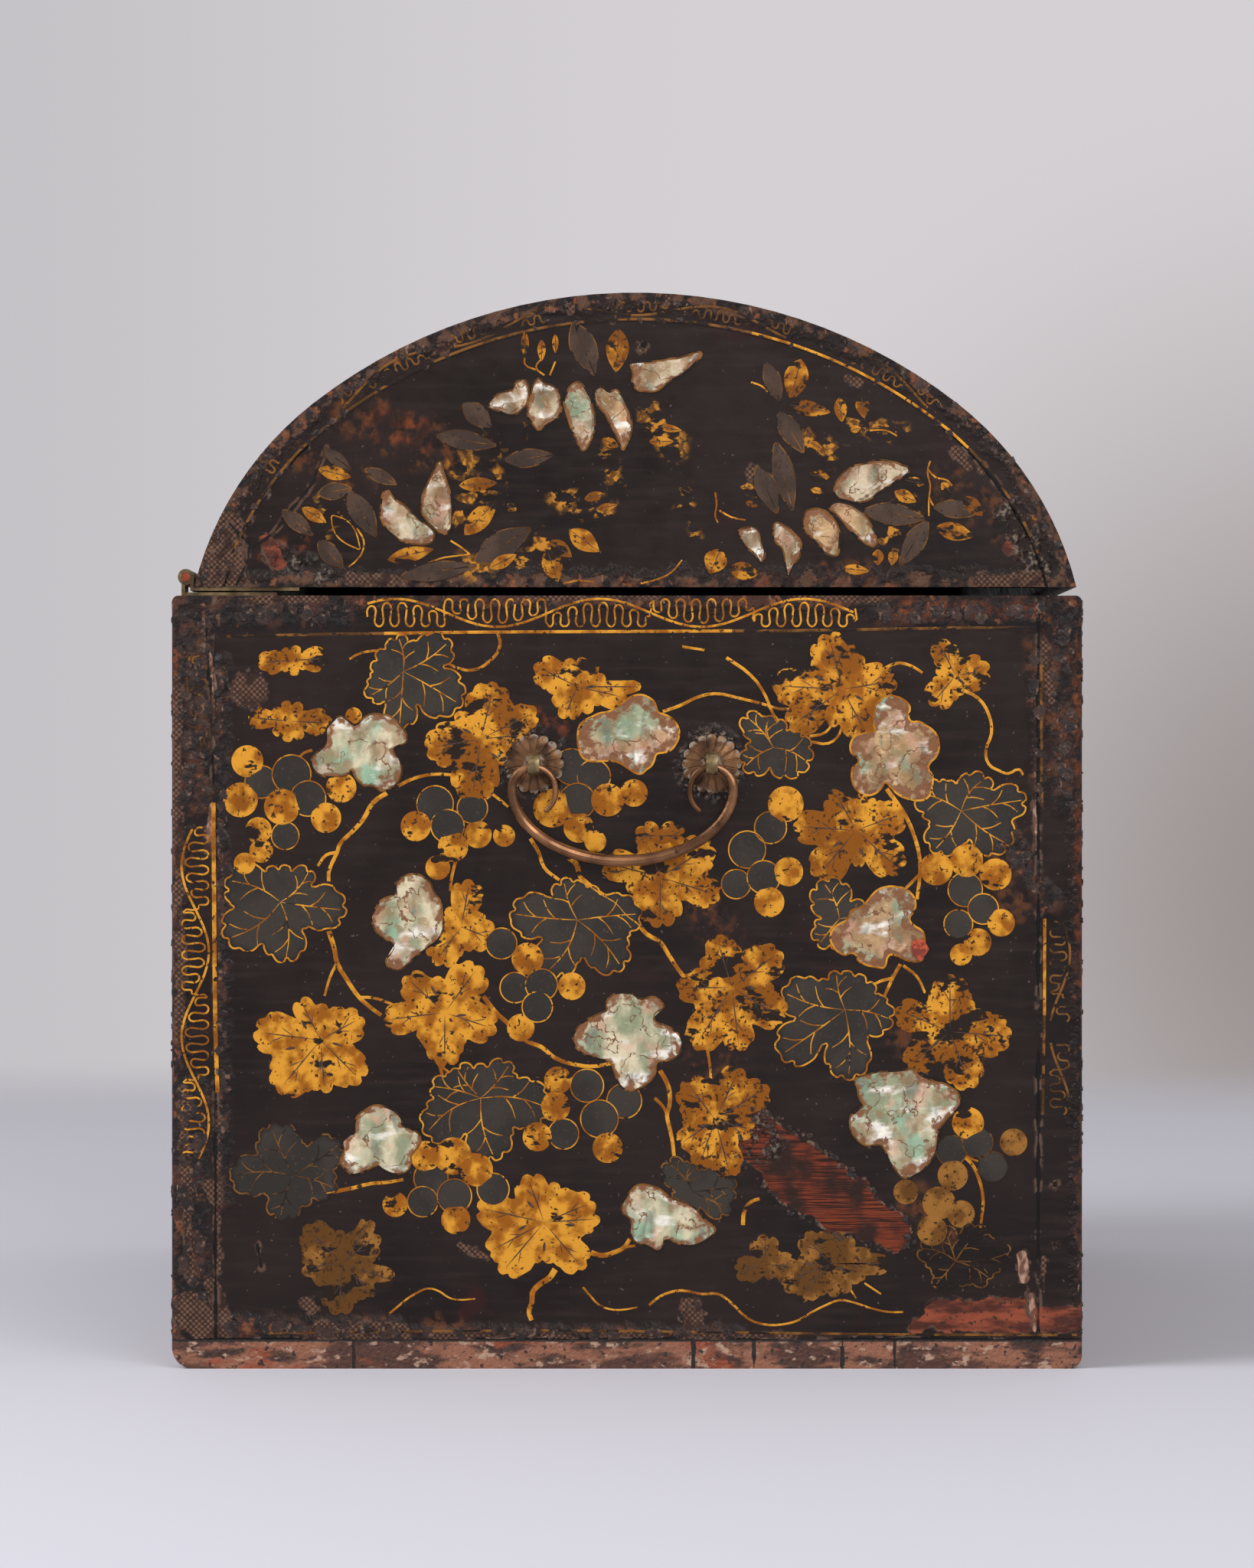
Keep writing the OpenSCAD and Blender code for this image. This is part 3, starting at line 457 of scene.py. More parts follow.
# Grapevine on the left end
# Leaves and grapes in gold, or in grey lacquer outlined with gold, and leaves of thin
# mother-of-pearl, all laid on the black ground between gold border lines. Each face is
# drawn flat in mm, as u along it and v up it, and then laid on its board.
def lobed(centre, lobes, points=112, scallop=1.9, tooth=5.6):
    """The outline round a leaf's lobes, each an (u, v, radius) circle, with small scallops."""
    outline = []
    run = 0.0
    for k in range(points):
        a = 2 * math.pi * k / points
        du, dv = math.cos(a), math.sin(a)
        reach = 1.5
        for u, v, r in lobes:
            along = (u - centre[0]) * du + (v - centre[1]) * dv
            off = (u - centre[0]) ** 2 + (v - centre[1]) ** 2 - along ** 2
            if off < r * r:
                reach = max(reach, along + math.sqrt(r * r - off))
        run += reach * 2 * math.pi / points
        reach -= scallop * (1 - abs(math.sin(math.pi * run / tooth))) ** 1.6
        outline.append((centre[0] + reach * du, centre[1] + reach * dv))
    return outline


def rounded(corners, chance, parts=3):
    """A smooth closed outline through these points, with small chips."""
    outline = []
    for k in range(len(corners)):
        near = [corners[(k + step) % len(corners)] for step in (-1, 0, 1, 2)]
        for part in range(parts):
            t = part / parts
            shares = (t * (2 * t - 1 - t * t) / 2, 1 + t * t * (3 * t - 5) / 2,
                      t * (1 + 4 * t - 3 * t * t) / 2, t * t * (t - 1) / 2)
            outline.append(tuple(sum(share * corner[axis] for share, corner in zip(shares, near))
                                 + chance.uniform(-0.15, 0.15) for axis in (0, 1)))
    return outline


def almond(tip, end, width, points=26):
    """The outline of a pointed leaf from its tip to its stalk end."""
    length = math.hypot(end[0] - tip[0], end[1] - tip[1])
    du, dv = (end[0] - tip[0]) / length, (end[1] - tip[1]) / length
    outline = []
    for side in (1, -1):
        for k in range(points // 2):
            t = k / (points // 2)
            if side < 0:
                t = 1 - t
            across = side * width / 2 * math.sin(math.pi * t) ** 0.8 * (1.1 - 0.35 * t)
            outline.append((tip[0] + du * length * t - dv * across,
                            tip[1] + dv * length * t + du * across))
    return outline


def ribs(centre, lobes, share):
    """The run from the stalk into each lobe: its direction, its length and the lobe's radius."""
    for u, v, r in lobes:
        far = math.hypot(u - centre[0], v - centre[1])
        if far >= 3:
            yield (u - centre[0]) / far, (v - centre[1]) / far, far + r * share, r


class Decoration:
    """Everything drawn on one face of the coffer, gathered by finish and then made."""
    STEP = 0.05
    LINE_RISE = 0.16

    def __init__(self, name, body, place, curved=False, half=164.0, faded=False, seed=1):
        self.name, self.body, self.place, self.curved = name, body, place, curved
        self.half, self.faded = half, faded
        self.plates = {finish: [] for finish in (
            "gold", "dull", "dark", "shell", "old_shell", "black", "film", "red")}
        self.strokes = {"gold": [], "faint": []}
        self.laid = []
        self.chance = random.Random(seed)

    def level(self, u, v, reach):
        """The height for a motif there, above all that it covers."""
        under = [h for pu, pv, pr, h in self.laid if math.hypot(pu - u, pv - v) < pr + reach - 1]
        height = (max(under) if under else 0.05) + self.STEP
        self.laid.append((u, v, reach, height))
        return height

    def stroke(self, points, width=1.4, height=0.0, closed=False, taper=0.7, faint=False):
        """A gold line through these points, thinner towards its end."""
        self.strokes["faint" if faint else "gold"].append((points, width, height, closed, taper))

    def plate(self, finish, outline, centre, height, crown=0.12, age=None, ragged=0.0):
        """A thin plate with that outline, its middle raised by crown."""
        age = self.chance.uniform(-0.1, 0.55) if age is None else age
        self.plates[finish].append((outline, centre, height, crown, age, ragged))

    def cut(self, tip, start, width, height):
        """A thin dark vein drawn into a gold leaf."""
        middle = ((tip[0] + start[0]) / 2, (tip[1] + start[1]) / 2)
        self.plate("black", almond(tip, start, width, 8), middle, height, 0.0)

    def flake(self, u, v, size):
        """A curled scrap of lacquer film, kept within the face."""
        u = max(size * 1.5 - self.half, min(self.half - size * 1.5, u))
        turn = self.chance.uniform(0, 6.28)
        outline = []
        for k in range(9):
            a, r = turn + k * 2 * math.pi / 9, size * self.chance.uniform(0.45, 1.1)
            long, wide = 1.35 * r * math.cos(a), r * math.sin(a)
            outline.append((u + long * math.cos(turn) - wide * math.sin(turn),
                            v + long * math.sin(turn) + wide * math.cos(turn)))
        self.plate("film", outline, (u, v), self.chance.uniform(0.12, 0.34),
                   self.chance.uniform(-0.12, 0.22), ragged=0.16)

    def veins(self, centre, lobes, height, width, faint):
        """Curved veins that run from the stalk into each lobe and fork on the way."""
        for du, dv, end, r in ribs(centre, lobes, 0.72):
            bow = self.chance.uniform(-0.10, 0.10) * end

            def point(t, off=0.0):
                across = bow * math.sin(math.pi * t) + off
                return (centre[0] + du * end * t - dv * across, centre[1] + dv * end * t + du * across)

            self.stroke([point(t) for t in (0, 0.33, 0.67, 1)], width, height, taper=0.3, faint=faint)
            for t, side in ((0.36, 1), (0.50, -1), (0.68, 1)):
                spread = side * r * (1.25 - 0.8 * t)
                self.stroke([point(t), point(t + 0.13, spread * 0.35), point(t + 0.22, spread * 0.8)],
                            width * 0.8, height, taper=0.3, faint=faint)

    def vein_cuts(self, centre, lobes, height):
        """Dark veins from the stalk into each lobe of a gold leaf, with two forks."""
        for du, dv, end, r in ribs(centre, lobes, 0.6):
            self.cut((centre[0] + du * end, centre[1] + dv * end), centre, 0.5, height)
            for t, side in ((0.45, 0.5), (0.6, -0.5)):
                start = (centre[0] + du * end * t, centre[1] + dv * end * t)
                a = math.atan2(dv, du) + side
                tip = (start[0] + math.cos(a) * r * 0.7, start[1] + math.sin(a) * r * 0.7)
                self.cut(tip, start, 0.35, height)

    def leaf(self, finish, centre, lobes, slits=(), age=None, faint=False):
        """A vine leaf: a gold plate with dark veins, or grey or bare ground outlined with gold."""
        far = [math.hypot(u - centre[0], v - centre[1]) for u, v, r in lobes]
        reach = max(f + r for f, (u, v, r) in zip(far, lobes))
        hub = [(*centre, 0.98 * sum(far) / len(far))]
        lobes = [(u, v, r * 1.06) for u, v, r in lobes]
        top = self.level(centre[0], centre[1], reach * 0.85)
        outline = lobed(centre, lobes + hub)
        if finish != "line":
            self.plate(finish, outline, centre, top, age=age)
        if finish in ("dark", "line"):
            self.stroke(outline, 0.62, top, closed=True, faint=faint)
            self.veins(centre, lobes, top + 0.06, 0.62, faint)
            return
        for u, v in slits:
            a = math.atan2(v - centre[1], u - centre[0]) + self.chance.uniform(-0.3, 0.3)
            du, dv = math.cos(a) * 2.0, math.sin(a) * 2.0
            self.plate("black", almond((u - du, v - dv), (u + du, v + dv), 1.1, 12), (u, v),
                       top + 0.13, 0.02)
        self.vein_cuts(centre, lobes, top + 0.115)

    def shell(self, finish, centre, corners, age, faint=True):
        """A thin piece of shell with its own outline, and what is left of its gold rim."""
        reach = max(math.dist(centre, corner) for corner in corners)
        top = self.level(centre[0], centre[1], reach * 0.85)
        outline = rounded(corners, self.chance)
        self.plate(finish, outline, centre, top + 0.1, 0.1, age=age)
        self.stroke(outline[::2], 0.7, top + 0.08, closed=True, faint=faint)

    def pointed(self, finish, tip, end, width, rib=True):
        """An almond leaf, with a gold edge and rib where it is dark."""
        centre = ((tip[0] + end[0]) / 2, (tip[1] + end[1]) / 2)
        outline = almond(tip, end, width)
        top = self.level(centre[0], centre[1], math.hypot(tip[0] - end[0], tip[1] - end[1]) * 0.36)
        if finish == "line":
            self.stroke(outline, 0.45, top, closed=True)
        else:
            self.plate(finish, outline, centre, top + (0.1 if finish == "shell" else 0))
        if finish == "dark":
            self.stroke(outline, 0.4, top - 0.02, closed=True, faint=self.faded)
            if rib:
                self.stroke([end, (centre[0] * 0.9 + tip[0] * 0.1, centre[1] * 0.9 + tip[1] * 0.1)],
                            0.4, top + 0.08, faint=self.faded)
        if finish == "shell":
            self.stroke(outline, 0.5, top + 0.06, closed=True, faint=self.faded)
        if finish == "gold" and rib:
            self.cut(tip, end, 0.4, top + 0.11)

    def grape(self, finish, u, v, r, faint=False):
        """A round grape, outlined with gold where it is dark."""
        top = self.level(u, v, r)
        ring = [(u + r * math.cos(a * math.pi / 14), v + r * math.sin(a * math.pi / 14))
                for a in range(28)]
        self.plate(finish, ring, (u, v), top, 0.22, age=self.chance.uniform(-0.25, 0.2))
        if finish == "dark":
            self.stroke(ring[::2], 0.45, top, closed=True, faint=faint)

    def make(self, finishes):
        """Makes one piece of each finish, laid on the face and riding with its body."""
        for finish, plates in self.plates.items():
            if plates:
                self.make_plates(finish, plates, finishes[finish])
        for finish, strokes in self.strokes.items():
            if strokes:
                self.make_lines(finish, strokes, finishes["faint" if finish == "faint" else "line"])

    def make_plates(self, finish, plates, material):
        bpy.ops.object.select_all(action="DESELECT")
        bpy.ops.mesh.primitive_circle_add(vertices=8, radius=1.0, location=(0, 0, 0))
        piece = bpy.context.object
        piece.name = f"{self.name}_{finish}_motifs"
        bpy.ops.object.mode_set(mode="EDIT")
        bpy.ops.mesh.delete(type="VERT")
        for outline, centre, height, crown, age, ragged in plates:
            bpy.ops.mesh.primitive_circle_add(vertices=len(outline), radius=1.0,
                                              fill_type="TRIFAN", location=(0, 0, 0))
            shape = bmesh.from_edit_mesh(piece.data)
            layers = shape.verts.layers.float
            inset = layers.get("inset") or layers.new("inset")
            ages = layers.get("age") or layers.new("age")
            ring = [v for v in shape.verts if v.select]
            hub = max(ring, key=lambda v: len(v.link_edges))
            rim = [v for v in ring if v is not hub]
            for vert, (u, v) in zip(rim, outline):
                vert.co = (u, v, height + self.chance.uniform(-ragged, ragged))
                vert[ages] = age
            hub.co = (centre[0], centre[1], height + crown)
            hub[inset], hub[ages] = 1.0, age
            bpy.ops.mesh.select_all(action="DESELECT")
        bpy.ops.mesh.select_all(action="SELECT")
        if self.curved:
            bpy.ops.mesh.subdivide(number_cuts=1)
        bpy.ops.mesh.normals_make_consistent(inside=False)
        bpy.ops.object.mode_set(mode="OBJECT")
        self.lay(piece, material, skirt=True)

    def make_lines(self, finish, strokes, material):
        bpy.ops.curve.primitive_bezier_curve_add(location=(0, 0, 0))
        piece = bpy.context.object
        piece.name = f"{self.name}_{finish}_lines"
        curve = piece.data
        curve.splines.clear()
        curve.bevel_depth, curve.bevel_resolution, curve.resolution_u = 0.5, 0, 3
        curve.use_fill_caps = True
        for points, width, height, closed, taper in strokes:
            spline = curve.splines.new("BEZIER")
            spline.bezier_points.add(len(points) - 1)
            for k, (u, v) in enumerate(points):
                knot = spline.bezier_points[k]
                knot.co = (u, v, (height + 0.02) / self.LINE_RISE)
                knot.handle_left_type = knot.handle_right_type = "AUTO"
                knot.radius = width * (1 - (1 - taper) * k / len(points)) if not closed else width
            spline.use_cyclic_u = closed
        bpy.ops.object.convert(target="MESH")
        for vert in piece.data.vertices:
            vert.co.z *= self.LINE_RISE
        self.lay(piece, material)

    def lay(self, piece, material, skirt=False):
        """Turns the flat drawing into its place on the coffer, in metres."""
        bpy.ops.object.select_all(action="DESELECT")
        piece.select_set(True)
        bpy.context.view_layer.objects.active = piece
        if skirt:
            bpy.ops.object.mode_set(mode="EDIT")
            bpy.ops.mesh.select_all(action="DESELECT")
            bpy.ops.mesh.select_mode(type="EDGE")
            bpy.ops.mesh.select_non_manifold(extend=False)
            bpy.ops.mesh.extrude_region_move(TRANSFORM_OT_translate={"value": (0, 0, -0.1)})
            shape = bmesh.from_edit_mesh(piece.data)
            for vert in shape.verts:
                if vert.select:
                    vert.co.z = -0.05
            bpy.ops.mesh.select_mode(type="VERT")
            bpy.ops.object.mode_set(mode="OBJECT")
        for vert in piece.data.vertices:
            vert.co = [c / 1000 for c in self.place(*vert.co)]
        bpy.ops.object.mode_set(mode="EDIT")
        bpy.ops.mesh.select_all(action="SELECT")
        bpy.ops.mesh.normals_make_consistent(inside=False)
        bpy.ops.object.mode_set(mode="OBJECT")
        bpy.ops.object.shade_smooth_by_angle(angle=math.radians(30))
        piece.data.materials.clear()
        piece.data.materials.append(material)
        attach(piece, self.body)


def border(decoration, start, end, near, far, wave=74.0, phase=10.0,
           at=lambda along, across: (along, across), pitch=5.6, worn=(), faint=False):
    """An undulating stem between near and far, with serpentine tendrils in its hollows."""
    way, side, wide = (1 if end > start else -1), (1 if far > near else -1), abs(far - near)
    sway = lambda a: wide * (0.5 + 0.44 * math.cos(2 * math.pi * (a - phase) / wave))
    gone = lambda a: any(low < a < high for low, high in worn)

    def flush(line, width):
        if len(line) > 3:
            decoration.stroke(list(line), width, taper=1.0, faint=faint)
        line.clear()

    stem, tendril = [], []
    for k in range(int(abs(end - start) / 4) + 1):
        a = start + 4 * way * k
        if gone(a):
            flush(stem, 0.85)
        else:
            stem.append(at(a, near + side * sway(a)))
    flush(stem, 0.85)
    for k in range(int(abs(end - start) / pitch * 8)):
        turn = k * math.pi / 4
        a = start + way * pitch * turn / (2 * math.pi)
        low, high = (0.8, sway(a) - 1.3) if sway(a) > wide / 2 else (sway(a) + 1.3, wide - 0.8)
        if high - low < 1.6 or gone(a):
            flush(tendril, 0.66)
            continue
        bulge = min(1.0, (high - low) / 6) * 0.13 * pitch * math.sin(2 * turn)
        across = (low + high) / 2 + (high - low) / 2 * math.sin(turn)
        tendril.append(at(a - way * bulge, near + side * across))
    flush(tendril, 0.66)


left_end = Decoration("left_end", "box", lambda u, v, h: (-BOX_HALF_LONG - h, u, v))
LEFT_DARK_LEAVES = [
    ((81, 252.5), [(82, 260, 5.5), (70, 259.5, 7), (90, 246, 5), (82, 238, 6), (68, 245, 9)]),
    ((-53, 225), [(-46, 233, 5), (-58, 223, 9), (-52, 229, 7), (-47, 221, 6)]),
    ((-121, 202), [(-112, 206, 7.5), (-126, 209, 7), (-138, 205, 6.5), (-132, 194, 8),
                   (-115, 193, 7)]),
    ((125.5, 169), [(137, 174, 8.5), (138, 160, 8.5), (124, 155, 7.5), (110, 167, 8), (118, 177, 5)]),
    ((18, 162.5), [(21, 171, 6.5), (34, 164, 8), (25, 150, 8), (7, 151, 8), (3, 164, 8)]),
    ((-79, 130), [(-64, 134, 8), (-77, 138, 6), (-89, 128, 7.5), (-62, 118, 8), (-80, 113, 8)]),
    ((-77, 163), [(-74, 170, 7.5), (-73, 158, 6), (-82, 164, 6)]),
    ((53, 98), [(66, 90, 8.5), (50, 84, 8.5), (37, 96, 9), (58, 104, 6.5), (46, 106, 6),
                (65, 101, 6)]),
    ((121, 70), [(126, 81, 8), (136, 70, 7.5), (124, 60, 6.5), (111, 67, 6), (109, 78, 6.5)]),
    ((-24, 64), [(-18, 71, 5.5), (-32, 65, 7.5), (-33, 60, 5.5), (-23, 68, 6)]),
]
LEFT_FAINT_LEAVES = [(121, 70), (-24, 64)]
LEFT_GOLD_LEAVES = [
    ((121, 256.5), [(129, 256, 4.5), (113, 257, 4.5), (121, 257.5, 3.6)], ()),
    ((122, 234.5), [(133, 235.5, 4), (124, 233.5, 5), (112, 234, 5)], ()),
    ((53, 228), [(50, 240, 8.5), (65, 226, 8), (55, 214, 8.5), (43, 229, 8), (37, 236, 5)],
     [(58, 231), (48, 222)]),
    ((18, 247), [(28, 252, 6), (16, 249, 7), (21, 240, 5), (5, 244, 5), (-2, 247, 3)], [(13, 247)]),
    ((-12, 193), [(-8, 193, 5), (-16, 193, 5)], ()),
    ((-78, 246), [(-75, 258, 8.5), (-60, 247, 7), (-90, 248, 7.5), (-64, 236, 6.5),
                  (-84, 235, 7)], [(-70, 250), (-84, 243)]),
    ((-119, 251), [(-115, 259, 5), (-125, 252, 6.5), (-114, 245, 6)], [(-121, 249)]),
    ((-83, 195), [(-78, 204, 6.5), (-67, 196, 6.5), (-94, 199, 7), (-73, 183, 7), (-94, 185, 7)],
     [(-91.5, 187), (-85, 187), (-76, 190)]),
    ((111, 119), [(116.5, 130, 4.5), (127, 121, 8), (102, 124, 7), (101, 109, 7), (121, 107, 8.5),
                  (110, 106, 6)], [(117, 124.5), (105, 117.5), (122, 116), (111, 110)]),
    ((60, 160), [(58, 171, 6), (55, 158, 7), (66, 152, 6.5)], ()),
    ((66, 129), [(82, 127, 6), (76, 138, 6), (58, 140, 7.5), (54, 125, 7), (66, 116, 6.5)],
     [(70, 137), (60, 128)]),
    ((-12, 178), [(3, 182, 6), (-25, 186, 7), (-12, 168, 8), (-28, 173, 6), (-9, 186, 6)],
     [(4.5, 180), (-18, 181)]),
    ((-38, 138), [(-34, 151, 6), (-50, 147, 7), (-51, 130, 7), (-24, 138, 6), (-28, 122, 7),
                  (-40, 121, 6)], [(-45, 138), (-33, 130)]),
    ((-117, 122), [(-117, 135, 7.5), (-103, 128, 6), (-131, 121, 8), (-122, 108, 7), (-106, 113, 6)],
     [(-112, 118)]),
    ((-32, 90), [(-26, 98, 8), (-38, 103, 6.5), (-46, 99, 6), (-23, 84, 5), (-28, 79, 6),
                 (-36, 75, 6), (-40, 88, 6)], [(-28, 88)]),
    ((103, 38), [(112, 47, 6.5), (95, 45, 6), (94.5, 51, 3.5), (88, 33, 4), (95, 30, 5),
                 (104, 26, 6.5), (113, 37, 5)], ()),
    ((30, 53), [(34, 64, 6.5), (48, 57, 6.5), (45, 45, 6), (41, 40, 7), (20, 41, 6.5),
                (18, 58, 6.5), (15, 54, 5)], [(35, 59.5), (20.5, 52), (30, 44), (38, 51)]),
    ((-50, 38), [(-50, 43, 5.5), (-44, 36, 5), (-57, 37, 5)], ()),
    ((-74, 38), [(-68, 44, 6), (-84, 38, 6), (-91, 38, 4), (-61, 33, 6), (-65, 29, 5)],
     [(-78, 36), (-66, 38)]),
]
LEFT_DULL_LEAVES = [(103, 38), (-74, 38), (-50, 38)]
LEFT_GOLD_AGES = [0.3, 0.4, 0.4, 0.1, 0.4, 0.35, 0.35, 0.35, -0.2, 0.0, -0.2, 0.2, 0.5, 0.6, 0.3,
                  0.75, -0.5, 0.45, 0.45]
LEFT_SHELLS = [
    ("shell", 1.0, (96, 223), [
        (89, 237), (85.5, 236), (82.5, 233.5), (80, 229.5), (80.5, 226.5), (84.5, 224.5), (82.5, 221),
        (81.5, 217.5), (82, 214.5), (84.5, 211), (89, 209.3), (92, 211), (95, 211), (98, 213.5),
        (100, 217), (101.5, 215), (105, 214.5), (110, 214.5), (114, 217.5), (114, 221.5), (111, 224),
        (109, 227), (109, 231), (107.5, 233.5), (104, 236.2), (100.5, 234.5), (98.5, 233),
        (93.5, 236.8)]),
    ("old_shell", 0.2, (-1, 229), [
        (17.3, 233), (14, 235.5), (10, 237.5), (5.5, 238.3), (2.5, 240.5), (-0.5, 242.8), (-4, 244),
        (-7.5, 243.3), (-10, 241.5), (-10.8, 238.5), (-13, 237), (-16.3, 235.3), (-18.5, 232.5),
        (-18.8, 229.5), (-17.5, 226), (-14.8, 223.5), (-10.8, 222.5), (-9.5, 219), (-7, 217),
        (-4.5, 215.2), (-1, 216.8), (1.5, 218.6), (4.5, 220), (9, 220), (13.5, 220), (16.5, 222),
        (17.8, 227)]),
    ("old_shell", 0.1, (-97, 223), [
        (-89.5, 238), (-90.8, 241.5), (-94.5, 243.5), (-99.5, 242.6), (-102.5, 239.5), (-102, 235),
        (-105.8, 234.2), (-109.5, 232.3), (-112.2, 229.5), (-113, 225.5), (-112, 221.5), (-109, 218.3),
        (-110.5, 215), (-110.5, 210.3), (-108.8, 206.8), (-104.5, 205.8), (-100, 207), (-96.5, 209.5),
        (-93.6, 212.3), (-92, 209.8), (-89.5, 208), (-86.3, 207.8), (-83.2, 209.8), (-81.4, 213.8),
        (-81.7, 217.6), (-84.2, 220), (-81.4, 222.8), (-81, 225.8), (-82.6, 228.8), (-86.4, 230.4),
        (-89.8, 231), (-89, 234.5)]),
    ("shell", 0.6, (79, 162), [
        (77, 179.2), (74, 178.2), (71.2, 175.8), (70, 172.5), (68, 170), (67, 166), (66.5, 162),
        (67, 158.2), (69, 155), (72.8, 152), (76.5, 149.5), (79, 146.8), (82.8, 144.3), (86.3, 145.4),
        (87.3, 148.2), (85.3, 150.8), (84.5, 153), (87.8, 155.8), (90.8, 158.2), (92, 161),
        (92.6, 163.6), (91, 167), (89, 169.8), (86, 171), (83.8, 172.4), (83.7, 175.6), (81, 178.2)]),
    ("shell", -0.6, (0, 119), [
        (19.6, 119.3), (18, 123.4), (14.9, 126), (11, 128.4), (7.4, 130), (7.4, 132.8), (5.5, 135.2),
        (1.2, 136.3), (-2.6, 135.3), (-4.8, 133.8), (-8.9, 134.7), (-12.6, 133), (-13.2, 130.2),
        (-10.2, 129), (-10.2, 126), (-14, 124.3), (-18, 121.8), (-20, 118.4), (-19.5, 115.2),
        (-17.6, 112.8), (-14, 111.3), (-10.8, 111), (-10.4, 107.8), (-8.6, 104.6), (-5, 101.9),
        (-1.4, 100.7), (1.8, 101.8), (3.6, 104.6), (4.9, 108.4), (6.2, 111.2), (10, 112.1),
        (13.6, 113.4), (17, 114.8)]),
    ("old_shell", 0.5, (-90, 158), [
        (-97.5, 174.6), (-101.2, 173.6), (-104, 170.5), (-104.6, 167.4), (-103, 164.6), (-102.7, 161.8),
        (-106.8, 158.6), (-107.8, 155), (-107.4, 150.6), (-106.2, 147.6), (-101.2, 148), (-96.3, 149.9),
        (-94.2, 148.6), (-93.6, 145.6), (-91.2, 145.2), (-87.5, 145.9), (-83.8, 147.7), (-82.2, 150.6),
        (-78.8, 150), (-75.6, 151.8), (-73.8, 155.5), (-74.4, 158.6), (-77, 161.3), (-80, 162.8),
        (-81.3, 166), (-85, 167.2), (-87.5, 169.9), (-90, 172.8), (-93.2, 174.2)]),
    ("shell", -0.2, (90, 83), [
        (90.3, 95.5), (87, 94.5), (84, 93), (81.8, 90.5), (81.3, 88), (78.2, 86.8), (75.8, 85.5),
        (74.7, 82.4), (76.3, 79.6), (78.2, 77.4), (78.2, 75), (79, 72.2), (82, 70.5), (85.8, 70.9),
        (89, 72.8), (90.8, 73.6), (93.3, 72.4), (96.4, 70.9), (99.5, 70.5), (102.2, 72.7),
        (103.8, 75.3), (102.7, 78.6), (102.8, 82.3), (100.8, 84.3), (98.7, 85.4), (98.8, 88.6),
        (97, 92.3), (94, 94.2)]),
    ("shell", 0.5, (-101, 91), [
        (-82.5, 104.8), (-86, 106.2), (-91, 107.5), (-96, 107.8), (-100.4, 108.3), (-104, 108.3),
        (-106.8, 106.2), (-110.5, 104.3), (-114.8, 103.2), (-118, 101.4), (-120.4, 98.6),
        (-120.6, 95.4), (-118, 92.4), (-115.4, 90), (-113, 86.8), (-112.6, 83), (-111.9, 78.6),
        (-109.8, 75.4), (-107.2, 71.8), (-103, 69.4), (-99.8, 69.3), (-97.2, 71.8), (-94.8, 76.1),
        (-93, 80.2), (-89.8, 81), (-86, 81), (-82.3, 84.2), (-80.8, 88), (-81, 91.4), (-83.5, 93.6),
        (-85.6, 95.2), (-84.1, 98), (-83.5, 101.6)]),
    ("shell", 0.0, (-13, 55), [
        (-5.8, 66.7), (-10, 65.9), (-13.2, 64), (-15.2, 62.3), (-19, 60.8), (-22.6, 59.4), (-25.8, 57),
        (-28.4, 54), (-32, 50.6), (-30, 47.8), (-26.4, 45.3), (-22, 44.6), (-18.2, 45.6),
        (-15.2, 46.8), (-13.3, 45.8), (-12.6, 43.4), (-10.6, 42.8), (-7, 44.6), (-4, 45.3),
        (-1.5, 48.4), (-1, 51.5), (-1, 54.6), (1.7, 56.2), (2, 59), (-0.2, 62.7), (-2.6, 65.8)]),
]
LEFT_GOLD_GRAPES = [
    (137.5, 220, 5.8), (140, 206, 6.3), (125, 203.5, 6.5), (103.5, 210.5, 5.5), (109, 199.5, 5.5),
    (133.5, 195, 4.8), (132.5, 187.5, 4.3), (138.5, 183, 3.9), (76.5, 196.5, 5.5), (63, 189, 5.5),
    (68.5, 181.5, 4.5), (54, 193.5, 5), (44.5, 193, 4), (7, 206, 6), (-2.5, 208.5, 5), (27, 203, 7),
    (17.5, 196, 5.5), (11.5, 191, 4), (-57.5, 204.5, 6.5), (-58.5, 180, 5.3), (-51.5, 169, 5.5),
    (-112, 181, 6), (-123, 184, 6), (-133.5, 179, 5.8), (-135.5, 161.5, 5), (-127, 154.5, 5),
    (-121, 150, 4), (36, 148.5, 5.8), (20, 138.5, 5), (38.5, 123.5, 5), (26, 95, 5.5),
    (25, 104.5, 5), (32.5, 84, 5.3), (7, 80, 5.5), (63, 77, 6.8), (73, 77, 5.5), (84, 59.5, 4.6),
    (54.5, 72, 6), (62, 54, 5.3), (-123.5, 89, 5.8), (-140, 82, 5), (-118, 70, 5.5), (-113, 60, 6),
    (-121, 56, 5), (-110.5, 50, 5.5), (-101, 64, 4.5), (99, 236.5, 3),
]
LEFT_DARK_GRAPES = [
    (132.5, 212.5, 5.9), (121.5, 215.3, 7), (115.5, 206.5, 6.4), (123.8, 193, 5), (69.5, 204.5, 6.6),
    (65, 196.5, 6), (56, 203, 5.5), (20, 218, 6.5), (12, 214.5, 6), (18, 205.5, 6.5),
    (-52, 196, 5.8), (-43.5, 188, 6.7), (-39.5, 175.5, 5.3), (-49.5, 178, 6), (-122.5, 173.5, 6.2),
    (-129, 166.5, 5.5), (-120, 161, 5.2), (45.5, 154, 5.6), (40.5, 138, 5.5), (31, 139, 5.8),
    (32.5, 131, 5.5), (14.5, 102.5, 6), (1, 97, 6.3), (10, 90.5, 6.8), (23, 85, 5.5), (71, 69, 6.2),
    (62.5, 62.5, 6.2), (74, 60.5, 5.5), (48.5, 65, 5.8), (-117.5, 79, 5.5), (-127, 82, 5.5),
    (-132.5, 73, 5.5),
]
